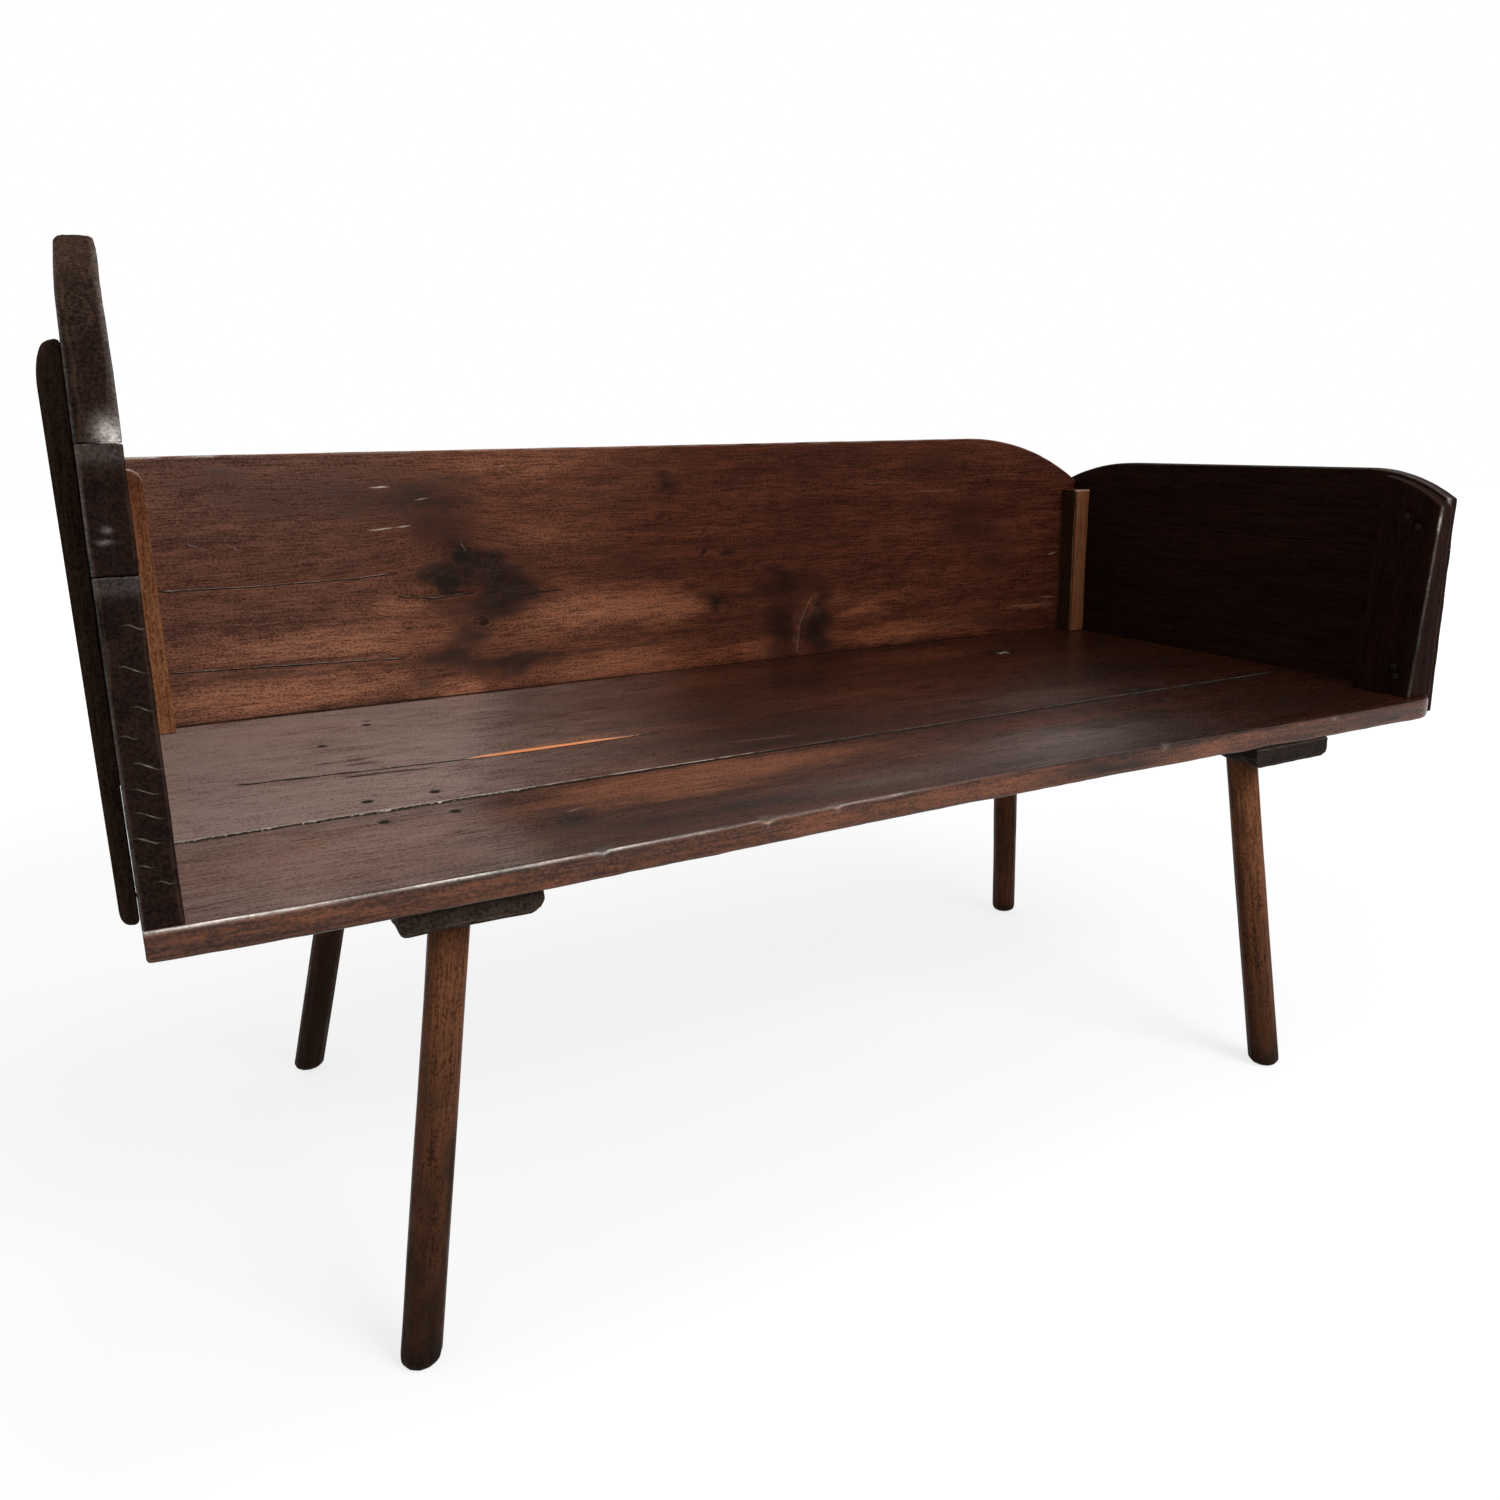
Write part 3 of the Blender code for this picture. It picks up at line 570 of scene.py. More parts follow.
def aged_pine(name, deep, body, glow, gloss=0.38, specular=0.05, coat=0.0, relief=0.0005, gape=0.0009):
    """Old varnished pine: fibres, grit, drifting tone, stains, knots, thin cracks and worn arrises, with
    painted shade, a painted sheen and painted highlights in its colour.
    """
    deep, body, glow = (paint(*colour) for colour in (deep, body, glow))
    mix = Finish(name)
    grain = mix.node("ShaderNodeAttribute", {"attribute_name": "grain"}, {}, "Vector")
    stain, ripe, warm, milk, knot, hollow, raw, fleck, shine, arris, rift, torn = map(mix.mask, MASKS)
    drift = mix.streaks(grain, 2.4, 15.0, 3.0, 0.5, 3.1)
    bands = mix.streaks(grain, 4.0, 58.0, 4.0, 0.6, 7.3)
    lines = mix.streaks(grain, 14.0, 210.0, 4.0, 0.65, 1.9)
    fibres = mix.streaks(grain, 32.0, 470.0, 3.0, 0.7, 5.7)
    grit = mix.streaks(grain, 300.0, 420.0, 2.0, 0.6, 6.5)
    mottle = mix.streaks(grain, 24.0, 44.0, 6.0, 0.70, 2.3)
    breaks = mix.streaks(grain, 42.0, 40.0, 5.0, 0.75, 8.8)
    fine = lines + 1.7 * fibres + 1.7 * grit
    flecks = 0.5 + 2.0 * grit + 1.6 * breaks

    tone = (0.5 + 0.8 * bands + fine + 0.5 * drift + 0.7 * mottle).rise(0.0, 1.0)
    colour = mix.blend(tone, deep, body)
    bright = mix.blend((0.5 + fine).rise(0.0, 1.0), body, glow)
    glowing = (warm + 0.5 * drift + 0.5 * bands + 0.25 * fine + 0.4 * mottle).rise(0.0, 1.1)
    colour = mix.blend(glowing, colour, bright)
    # Drawn darker where marked: partly painted shade and a painted dark reflection
    colour = mix.blend((ripe + 0.5 * drift + 0.3 * fine).rise(0.0, 1.0), colour, DARKENING_AND_SHADE_TINT, "MULTIPLY")
    # Stains, and painted shade on the right seat batten and on the cleats' faces towards the tall end and
    # the back
    marked = stain.rise(0.0, 0.35)
    shade = (stain + marked * (1.9 * mottle + 1.2 * bands + fine)).rise(0.15, 0.9)
    colour = mix.blend(shade, colour, STAIN_TINT, "MULTIPLY")
    pores = (fibres + 0.6 * grit).rise(0.14, 0.26)
    colour = mix.blend(pores * 0.35, colour, DIRT_AND_SHADE)
    away = KNOT_REACH - KNOT_REACH * knot + 2.2 * mottle + 1.4 * lines
    heart = 1.0 - away.rise(0.35, 0.95)
    ring = away.rise(0.95, 1.10) * (1.0 - away.rise(1.15, 1.7))
    colour = mix.blend(ring * 0.4, colour, KNOT_RING, "MULTIPLY")
    colour = mix.blend(heart * 0.85, colour, SOOT)
    worn = (arris + 1.2 * mottle + 0.8 * bands).rise(0.6, 1.1)
    colour = mix.blend(worn * 0.35, colour, glow)
    # Painted sheen: a grey reflection laid into the colour
    colour = mix.blend(milk * (0.95 + 1.3 * fine + 1.2 * mottle), colour, SHEEN_GREY)
    colour = mix.blend((raw + raw.rise(0.0, 0.3) * 1.2 * lines).rise(0.15, 0.7), colour, RAW_PINE)

    waver = rift + 0.0022 * mix.streaks(grain, 60.0, 60.0, 4.0, 0.65, 6.2)
    width = gape + 3.8 * gape * breaks
    line = 1.0 - (abs(waver) - width).rise(-0.0004, 0.0005)
    # Cracks, dirt in dents, and painted shade along joints and corners drawn dark
    dark = (line * torn.rise(0.0, 0.7)).most(hollow.rise(0.25, 0.7))
    colour = mix.blend(dark * 0.92, colour, DIRT_AND_SHADE)
    # A painted highlight on the lit lip beside each crack and joint
    rim = 1.0 - (abs(waver - 1.1 * gape) - 0.35 * width).rise(-0.0004, 0.0004)
    lit_lip = rim * torn.rise(0.45, 1.1) * breaks.rise(-0.20, 0.06)
    thin = 1.0 - (abs(waver) - SCRATCH_WIDTH - 3.0 * SCRATCH_WIDTH * breaks).rise(-0.0003, 0.0003)
    scratch = thin * (-torn).rise(0.0, 1.0)
    specks = (fleck * flecks).rise(0.5, 0.8)
    colour = mix.blend(lit_lip.most(scratch).most(specks) * 0.85, colour, PALE_MARK_AND_HIGHLIGHT)
    # Painted highlights along arrises and on patches, with some pale wear
    colour = mix.blend(shine * (0.9 + fine + 0.8 * breaks), colour, HIGHLIGHT_AND_WEAR_WHITE)

    roughness = gloss + 0.3 * mottle + 0.3 * fine + 0.12 * shade + 0.35 * dark + 0.3 * raw
    height = fine + 0.6 * bands + 0.5 * mottle - 1.5 * dark
    normal = mix.node("ShaderNodeBump", {}, {"Strength": 0.7, "Distance": relief, "Height": height})
    return mix.close(Base_Color=colour, Roughness=roughness, Normal=normal, Coat_Weight=coat * (1.0 - dark),
                     Specular_IOR_Level=specular, Specular_Tint=WARM_GLEAM, Coat_Roughness=0.2)


def split_pine(name, deep, body):
    """Riven pine for the wedges: fibres and drifting tone read straight from the object's own place."""
    mix = Finish(name)
    place = mix.node("ShaderNodeTexCoord", {}, {}, "Object")
    upright = mix.node("ShaderNodeMapping", {}, {"Vector": place, "Rotation": (0.0, math.pi / 2, 0.0)})
    lines = mix.streaks(upright, 14.0, 210.0, 4.0, 0.65, 1.9)
    fibres = mix.streaks(upright, 60.0, 700.0, 3.0, 0.7, 5.7)
    colour = mix.blend((0.5 + 1.2 * lines + 1.6 * fibres).rise(0.0, 1.0), paint(*deep), paint(*body))
    normal = mix.node("ShaderNodeBump", {}, {"Strength": 0.7, "Distance": 0.0004, "Height": lines + fibres})
    return mix.close(Base_Color=colour, Roughness=0.6 + 0.3 * lines, Normal=normal, Specular_IOR_Level=0.1)


def forged_iron(name):
    """Dark hammered iron with rust in patches."""
    mix = Finish(name)
    place = mix.node("ShaderNodeTexCoord", {}, {}, "Object")

    def speckle(scale, detail, rough):
        sockets = {"Vector": place, "Scale": scale, "Detail": detail, "Roughness": rough}
        return mix.node("ShaderNodeTexNoise", {}, sockets)

    scale, rust = speckle(900.0, 4.0, 0.6), speckle(320.0, 5.0, 0.65)
    colour = mix.blend(rust.rise(0.42, 0.62), paint(16, 13, 12), paint(40, 25, 19))
    roughness = 0.55 + 0.4 * rust.rise(0.35, 0.65)
    normal = mix.node("ShaderNodeBump", {}, {"Strength": 0.5, "Distance": 0.0002, "Height": scale})
    return mix.close(
        Base_Color=colour, Roughness=roughness, Normal=normal, Metallic=0.3, Specular_IOR_Level=0.15,
    )


# Finishes: screen colours of the dark, common and pale wood
SEAT_PINE = aged_pine("seat pine", (36, 21, 15), (76, 46, 33), (134, 82, 58), 0.30, 0.08, 0.3, gape=0.0036)
BACK_PINE = aged_pine("back pine", (60, 34, 25), (106, 63, 48), (178, 119, 89), 0.40, 0.04)
TALL_PINE = aged_pine("tall end pine", (27, 19, 16), (45, 32, 28), (78, 60, 47), 0.42, 0.0)
LOW_PINE = aged_pine("low end pine", (18, 10, 8), (42, 24, 19), (66, 39, 29), 0.42, 0.01)
CLEAT_PINE = aged_pine("cleat pine", (70, 37, 22), (118, 71, 45), (170, 118, 82), 0.5, 0.05)
BATTEN_PINE = aged_pine("batten pine", (32, 25, 21), (70, 58, 51), (112, 97, 84), 0.65, 0.03, relief=0.0012)
LEG_PINE = aged_pine("leg pine", (46, 28, 20), (98, 60, 41), (152, 98, 67), 0.46, 0.04)
WEDGE_PINE = split_pine("wedge pine", (66, 38, 22), (118, 76, 48))
IRON = forged_iron("forged iron")

FRONT_CURVE = np.poly1d(np.polyfit(*np.array(FRONT_BOW).T, 4))
FRONT_REAR_EDGE = bench_box("seat_front_plank")[1][1]
FRONT_NAILS = [name for name in named("nail_seat") if bench_box(name)[0][1] < FRONT_REAR_EDGE]
REAR_NAILS = [name for name in named("nail_seat") if name not in FRONT_NAILS]
SPLINTER = ((0.335, 0.3570), (0.45, 0.3575), (0.565, 0.3610))
SEAT_CRACKS = line_rows(
    (0.85, 105, 378, 180, 370, 225, 365.5, 335, 354.5), (0.55, 185, 417.5, 245, 416.5),
    (0.5, 213, 398, 252, 396), (0.6, 205, 349, 255, 345, 298, 340.5), (0.5, 320, 326, 338, 335),
    (0.7, 335, 354.5, 450, 354.5, 565, 359), (0.6, 275, 605, 285, 604), (0.5, 255, 110, 266, 109),
    (0.5, 405, 472, 413, 473), (-0.35, 305, 574, 400, 531), (-0.5, 366, 115, 378, 119),
    (-0.25, 870, 120, 960, 135), (-0.3, 620, 270, 700, 262),
)
# Patches of painted sheen on the seat, reflections laid into its colour
SEAT_SHEEN_PATCHES = spot_rows((930, 80, 120, 50, 0.26), (1050, 270, 90, 45, 0.08), (700, 50, 100, 30, 0.15))
SEAT_WARMTH = spot_rows(
    (500, 160, 130, 40, 1.2), (660, 170, 160, 30, 0.7), (980, 170, 100, 35, 0.6), (480, 110, 80, 15, 0.5),
    (800, 120, 70, 20, 0.45), (140, 110, 150, 90, 0.9), (900, 420, 250, 60, 0.4), (1150, 600, 100, 50, 0.5),
    (950, 330, 150, 50, 0.3), (750, 600, 120, 60, 0.3), (150, 600, 100, 80, 0.5), (470, 378, 110, 10, 0.8),
)
SEAT_STAINS = spot_rows(
    (355, 95, 28, 28, 0.8), (520, 45, 200, 22, 0.6), (1020, 60, 100, 30, 0.5), (1350, 100, 160, 100, 0.5),
    (900, 30, 300, 14, 0.3), (500, 300, 140, 40, 0.5), (660, 480, 120, 80, 0.4), (850, 530, 60, 100, 0.4),
    (1300, 350, 150, 120, 0.5), (1400, 550, 100, 100, 0.3), (1325, 220, 10, 8, 0.9), (1130, 125, 10, 6, 0.9),
    (1245, 118, 12, 6, 0.9), (975, 290, 10, 6, 0.9), (1243, 555, 34, 20, 1.1), (1205, 240, 22, 12, 1.0),
    (620, 400, 120, 30, 0.45), (740, 300, 120, 35, 0.45), (660, 240, 130, 18, 0.6),
)
SEAT_SCARS = spot_rows((1243, 555, 30, 18, 1.0), (1205, 240, 20, 10, 1.0))
EDGE_WARMTH = spot_rows(
    (570, -12, 30, 7, 0.7), (780, -12, 90, 7, 0.8), (1100, -10, 70, 8, 0.8), (200, -12, 200, 8, 0.3),
)
EDGE_STAINS = spot_rows((920, -14, 70, 12, 0.8), (380, -8, 20, 6, 0.5), (1380, -12, 60, 10, 0.5))

# Chips in the front edge: place along the seat, half width and depth
EDGE_NICKS = (
    (0.352, 0.004, 0.0022), (0.515, 0.006, 0.0035), (0.592, 0.004, 0.0020),
    (1.020, 0.005, 0.0018), (1.296, 0.006, 0.0030),
)


def seat_joint(x):
    """Where the two seat planks meet: a straight line, a little out of square."""
    return FRONT_REAR_EDGE + JOINT_SLANT * (x - JOINT_LEVEL_X)


def seat_painted_sheen(x, y):
    """Where a painted sheen stands in for the seat's reflection: the part by the tall end, sharply bordered
    on the front plank and fading along a slanting border on the rear one, and a few patches.
    """
    behind = y > seat_joint(x)
    front = 0.30 * (1 - eased((x - 0.30) / 0.06 + 0.5)) + 0.12 * (1 - eased((x - 0.30) / 0.25 + 0.5))
    past = x - 0.30 - 0.34 * (y - 0.22)
    rear = 0.60 * (1 - eased(past / 0.12 + 0.5)) + 0.36 * (1 - eased(past / 0.34))
    uneven = 1.0 + 0.22 * cloud(x, y, 0.11, 0.045, 18) + 0.14 * cloud(x, y, 0.04, 0.014, 19)
    clear = eased((x - bench_box("tall_end_lower_board")[1][0]) / 0.004 + 1.0)
    return clear * np.where(behind, rear, front) * uneven + spots(x, y, SEAT_SHEEN_PATCHES, 17)


def seat_darkening(x, y):
    """How much darker the seat is drawn: more towards the low end, and past a slanting border, where the low
    end's dark reflection is painted.
    """
    slow = 0.15 + 0.72 * eased((x - 0.45) / 0.60) - 0.40 * bell(x - 0.52, 0.16) * (y < FRONT_REAR_EDGE)
    return np.clip(slow + 0.35 * eased((x - 1.14 - 0.73 * (y - 0.22)) / 0.08), 0.0, 1.0)


def seat_lines(x, y, edge):
    """The seat's cracks and scratches, and its joint's line, bold at the tall end and then fainter."""
    start, middle, end = ((place, edge(place)) for place in JOINT_PLACES)
    return nearest_line(x, y, [*SEAT_CRACKS, (1.1, (start, middle)), (0.75, (middle, end))])


def make_seat_front():
    """The front plank: a bowed front edge, a rounded outer corner, chips along the worn arris."""
    low, high = bench_box("seat_front_plank")
    radius = SEAT_CORNER_RADIUS

    def front(a):
        past = np.clip(a - (high[0] - radius), 0.0, radius)
        return FRONT_CURVE(a) + radius - np.sqrt(radius**2 - past**2)

    def chips(a, b):
        return sum(depth * bell(a - x, width) for x, width, depth in EDGE_NICKS) * bell(b - front(a), 0.005)

    def tone(a, b, n):
        edge = b - front(a)
        face = bell(edge, 0.004) * (n < high[2] - 0.003)
        top = n > high[2] - 0.006
        warm = spots(a, b, SEAT_WARMTH, 11) * (1 - face) + face * (0.40 + 1.2 * spots(a, n, EDGE_WARMTH, 15))
        stain = spots(a, b, SEAT_STAINS, 12) * (1 - face) + face * spots(a, n, EDGE_STAINS, 16)
        nicks = sum(bell(a - x, width) for x, width, _ in EDGE_NICKS)
        fresh = nicks * bell(edge, 0.003) * bell(n + 0.002, 0.004)
        rift, torn = seat_lines(a, b, seat_joint)
        # A painted highlight along the front arris, strongest by the tall end, and on the fresh chips
        highlight = bell(edge - 0.0010, 0.0009) * bell(n - high[2], 0.0018)
        patchy = 0.75 + 0.5 * cloud(a, n, 0.03, 0.02, 23)
        highlight = highlight * (1.1 * eased((0.46 - a) / 0.20) + 0.30 * patchy * eased((0.85 - a) / 0.3)) * patchy
        # The painted sheen, kept off the front edge
        top_sheen = seat_painted_sheen(a, b) * eased((edge - 0.003) / 0.004) * top
        highlight = highlight + 0.12 * fresh
        fleck = 0.5 * bell(seat_joint(a) - b, 0.003) * top * eased((0.6 - a) / 0.3) + 1.1 * fresh
        # Dirt and painted shade darken the joint between the planks
        return {"warm": warm, "stain": stain, "raw": 0.3 * fresh, "ripe": seat_darkening(a, b) * (1 - face),
                "shine": highlight, "fleck": fleck, "hollow": 0.8 * bell(seat_joint(a) - b, JOINT_SHADE) * top,
                "rift": rift, "torn": torn * top, "milk": top_sheen}

    board(
        "seat_front_plank", SEAT_PINE, "xyz",
        ((0.005, 0.012, 0.004, 0.0015), (0.002, 0.006, 0.0027, 0.0014)),
        strip(low[0], high[0], front, seat_joint), knots=((0.353, 0.092, 0.010),), nails=FRONT_NAILS,
        marks=([(0.515, 0.006), (1.296, 0.006)], [(0.0012, 0.0012)]),
        tone=tone, chips=chips, step=BOARD_STEP, seed=20,
    )


def splinter_trough(a, b):
    """The lost splinter: steep at its front side, sloping up behind, tapering at both ends."""
    share = np.clip((a - SPLINTER[0][0]) / (SPLINTER[-1][0] - SPLINTER[0][0]), 0.0, 1.0)
    width = 0.014 * np.sin(np.pi * share**0.7) + 0.0002
    behind = (b - path_at(a, SPLINTER)) / width
    return within(a, SPLINTER, 0.01) * eased((behind + 0.15) / 0.15) * eased(1.3 - 1.2 * behind)


def make_seat_rear():
    """The rear plank: an old crack that runs into a fresh split where a splinter has gone."""
    low, high = bench_box("seat_rear_plank")
    gap = low[1] - FRONT_REAR_EDGE
    middle = np.mean([height for _, height in SPLINTER])

    def edge(a):
        return seat_joint(a) + gap

    def relief(a, b, side):
        if side < 0:
            return 0.0
        rough = spots(a, b, SEAT_SCARS, 31) * (0.5 + cloud(a, b, 0.009, 0.006, 33))
        rift, torn = nearest_line(a, b, SEAT_CRACKS)
        cracks = np.maximum(torn, 0.0) * bell(rift, 0.002)
        return -0.0012 * cracks - 0.0018 * splinter_trough(a, b) - 0.0009 * rough

    def tone(a, b, n):
        top = n > high[2] - 0.012
        rift, torn = seat_lines(a, b, edge)
        # Painted shade along the corner where the seat meets the back, and along the joint
        corner = 0.5 * bell(high[1] - b, 0.0020) * (a < bench_box("low_end_lower_board")[0][0])
        corner += 0.8 * bell(b - edge(a), JOINT_SHADE)
        fleck = 0.95 * bell(b - edge(a) - 0.0012, 0.0022) * eased((0.6 - a) / 0.3)
        fleck += 1.05 * dots(a, b, [(p, q, 0.9 * r, 0.9 * s) for p, q, r, s, _ in SEAT_SCARS])
        return {"warm": spots(a, b, SEAT_WARMTH, 21), "stain": spots(a, b, SEAT_STAINS, 22),
                "hollow": corner * top, "raw": splinter_trough(a, b) * top, "ripe": seat_darkening(a, b),
                "fleck": fleck * top, "rift": rift, "torn": torn * top, "milk": seat_painted_sheen(a, b) * top}

    fine = [(middle - low[1] + shift, 0.0024) for shift in (0.0, 0.005)]
    board(
        "seat_rear_plank", SEAT_PINE, "xyz",
        ((0.004, 0.003, 0.0015, 0.002), (0.002, 0.002, 0.0014, 0.0020)),
        strip(low[0], high[0], edge, level(high[1]), [(SPLINTER, 0.06)]), marks=([], fine), nails=REAR_NAILS,
        relief=relief, tone=tone, step=BOARD_STEP, seed=40,
    )


BACK_KNOTS = (
    (0.437, 0.188, 0.015), (0.413, 0.152, 0.018), (0.462, 0.098, 0.008), (0.360, 0.098, 0.006),
    (0.812, 0.098, 0.007), (0.722, 0.225, 0.005),
)
BACK_LINES = line_rows(
    (1.0, 72, 166.5, 185, 165, 300, 166.8, 348, 170.5), (0.95, 72, 67.2, 200, 64, 350, 58.5),
    (0.9, 352, 139, 400, 134, 447, 137.5), (0.6, 540, 131, 575, 133.5), (0.6, 30, 1.4, 760, 1.4),
    (0.45, 760, 1.4, 1470, 1.4), (0.5, 1148, 270, 1148.5, 295), (0.5, 700, 213, 730, 215),
    (-0.9, 328, 279.5, 347, 280), (-0.8, 322, 226.5, 350, 228.5), (-0.7, 356, 229, 372, 230),
    (-0.6, 384, 262, 397, 264.5), (-0.3, 105, 222, 128, 213), (-0.3, 150, 219, 166, 209),
    (-0.6, 497, 300, 503, 304), (-0.5, 437, 203, 442, 196), (-0.15, 1075, 260, 1145, 259.5),
    (-0.15, 1170, 244, 1250, 243.5), (-0.12, 1280, 265, 1370, 266), (-0.45, 1447, 128.5, 1463, 133),
    (-0.2, 1365, 47, 1461, 44), (-0.3, 1437, 57.5, 1461, 56), (-0.2, 947, 0, 955, 55, 976, 95),
)
BACK_STAINS = spot_rows(
    (270, 276, 150, 34, 0.46), (400, 262, 60, 30, 0.5), (410, 215, 45, 22, 0.6), (437, 188, 20, 20, 0.7),
    (400, 165, 35, 12, 0.6), (413, 150, 26, 22, 0.6), (490, 150, 45, 40, 1.25), (475, 185, 30, 12, 0.6),
    (540, 134, 40, 8, 0.6), (470, 115, 30, 18, 0.6), (435, 85, 25, 30, 0.65), (410, 58, 40, 10, 0.5),
    (480, 35, 50, 16, 0.7), (540, 38, 50, 12, 0.55), (380, 30, 30, 20, 0.4), (735, 266, 22, 17, 0.7),
    (670, 165, 60, 14, 0.4), (735, 230, 12, 6, 0.6), (800, 90, 12, 12, 0.8), (815, 103, 20, 8, 0.8),
    (845, 105, 30, 6, 0.4), (930, 120, 50, 18, 0.7), (920, 48, 32, 42, 0.85), (990, 42, 26, 42, 1.1),
    (1000, 90, 20, 30, 0.4), (1200, 280, 60, 25, 0.4), (1280, 190, 80, 50, 0.45), (1340, 120, 60, 30, 0.35),
    (130, 295, 70, 14, 0.3), (220, 52, 150, 5, 0.4), (620, 48, 150, 5, 0.45), (1250, 30, 120, 4, 0.4),
    (1380, 22, 60, 8, 0.35),
)
BACK_WARMTH = spot_rows(
    (200, 25, 150, 22, 1.0), (220, 90, 150, 16, 0.7), (300, 75, 50, 8, 0.4), (420, 12, 20, 12, 0.8),
    (640, 98, 120, 22, 0.85), (680, 20, 110, 18, 0.8), (750, 90, 50, 20, 0.5), (520, 300, 120, 16, 0.35),
    (550, 210, 70, 20, 0.3), (1060, 62, 50, 8, 0.85), (1150, 25, 140, 14, 0.7), (1410, 46, 50, 7, 0.7),
    (870, 20, 40, 18, 0.5), (1080, 85, 120, 16, 0.4), (340, 125, 50, 12, 0.5), (957, 45, 6, 30, 0.6),
    (970, 80, 6, 18, 0.7),
)
BACK_GOUGES = spot_rows((790, 175, 6, 16, 1.0), (805, 190, 4, 14, 1.0), (825, 172, 12, 7, 1.0))


def make_back():
    """The wide back board: long splits from the tall end, a cluster of dark knots, clouds of old stain."""
    low, high = bench_box("back_board")
    top = falling(low[0], high[0], high[2], rear=BACK_FALL)

    def relief(a, b, side):
        if side > 0:
            return 0.0
        rift, torn = nearest_line(a, b, BACK_LINES)
        knot = spots(a, b, [(p, q, 1.1 * r, r, 1.0) for p, q, r in BACK_KNOTS], 53)
        cracks = np.maximum(torn, 0.0) * bell(rift, 0.002)
        return 0.0004 * knot - 0.0010 * cracks - 0.0006 * spots(a, b, BACK_GOUGES, 51)

    def tone(a, b, n):
        front = n < (low[1] + high[1]) / 2
        stain = spots(a, b, BACK_STAINS, 61) + 0.6 * spots(a, b, BACK_GOUGES, 51)
        rift, torn = nearest_line(a, b, BACK_LINES)
        ripe = 0.05 + 0.80 * eased((a - 0.45) / 0.45) + 0.2 * bell(b - 0.2, 0.08)
        # Painted shade along the foot of the back, where it meets the seat
        corner = 0.6 * bell(b - 0.0006, 0.0014)
        warm = spots(a, b, BACK_WARMTH, 62) + 0.15
        # A painted highlight along the top arris, strongest towards the tall end
        broken = eased(0.5 + 0.9 * cloud(a, b, 0.02, 0.02, 63))
        highlight_strength = 0.6 * eased((0.22 - a) / 0.12) + 0.15
        edge_highlight = broken * highlight_strength * bell(top(a) - b, 0.0016) * bell(n - low[1], 0.003)
        # A faint painted sheen towards the tall end
        return {"stain": np.where(front, stain, 0.3), "warm": warm * front, "ripe": ripe, "shine": edge_highlight,
                "hollow": corner * front, "rift": rift, "torn": torn * front,
                "milk": (0.08 + 0.06 * eased((b - 0.2) / 0.1)) * (1 - eased((a - 0.20) / 0.3)) * front}

    board(
        "back_board", BACK_PINE, "xzy",
        ((0.002, 0.003, 0.002, 0.0030), (0.003, 0.003, 0.003, 0.0035)), top=top, nails=named("nail_back"),
        marks=([], [(-low[2], 0.002)]), knots=BACK_KNOTS, relief=relief, tone=tone, step=BOARD_STEP, seed=60,
    )


def lean(z):
    """How far the tall end has leant in: a square of the height, and more at the crown."""
    return 0.006 * (np.clip(z, 0.0, None) / 0.5) ** 2 + 0.004 * eased((z - 0.43) / 0.08)


# Cuts in the tall end's front edge: place through its thickness, height and half length
TALL_CUTS = (
    (0.022, 0.219, 0.004), (0.018, 0.190, 0.006), (0.021, 0.162, 0.004), (0.010, 0.143, 0.003),
    (0.019, 0.121, 0.007), (0.015, 0.103, 0.006), (0.016, 0.085, 0.007), (0.012, 0.067, 0.006),
    (0.009, 0.048, 0.003), (0.020, 0.034, 0.003),
)
CUT_SLOPE = math.radians(28.0)
CUT_REACH = 0.0035
CUT_NARROWING = 1.7
CUT_STRENGTH = -0.55
# Painted glints on two dents in the front edge, and painted highlights on the crown: height, place through
# the thickness, half height and half width
TALL_DENT_GLINTS = ((0.285, 0.013, 0.0022, 0.0026), (0.277, 0.011, 0.0016, 0.0045))
TALL_HIGHLIGHTS = ((0.3480, 0.0215, 0.009, 0.008), (0.3430, 0.0240, 0.005, 0.006))
SCAR_RING = 0.0018

# Length round the arch and height over its base, by which the grid's lines are spread
ARCH_SPREAD = (0.9, 0.13)


def slanting_cuts():
    """The cuts as pale scratches, all falling inwards at one slope."""
    cuts = []
    for x, z, half in TALL_CUTS:
        run, fall = half * math.cos(CUT_SLOPE), half * math.sin(CUT_SLOPE)
        cuts.append((CUT_STRENGTH, ((x - run, z + fall), (x + run, z - fall))))
    return cuts


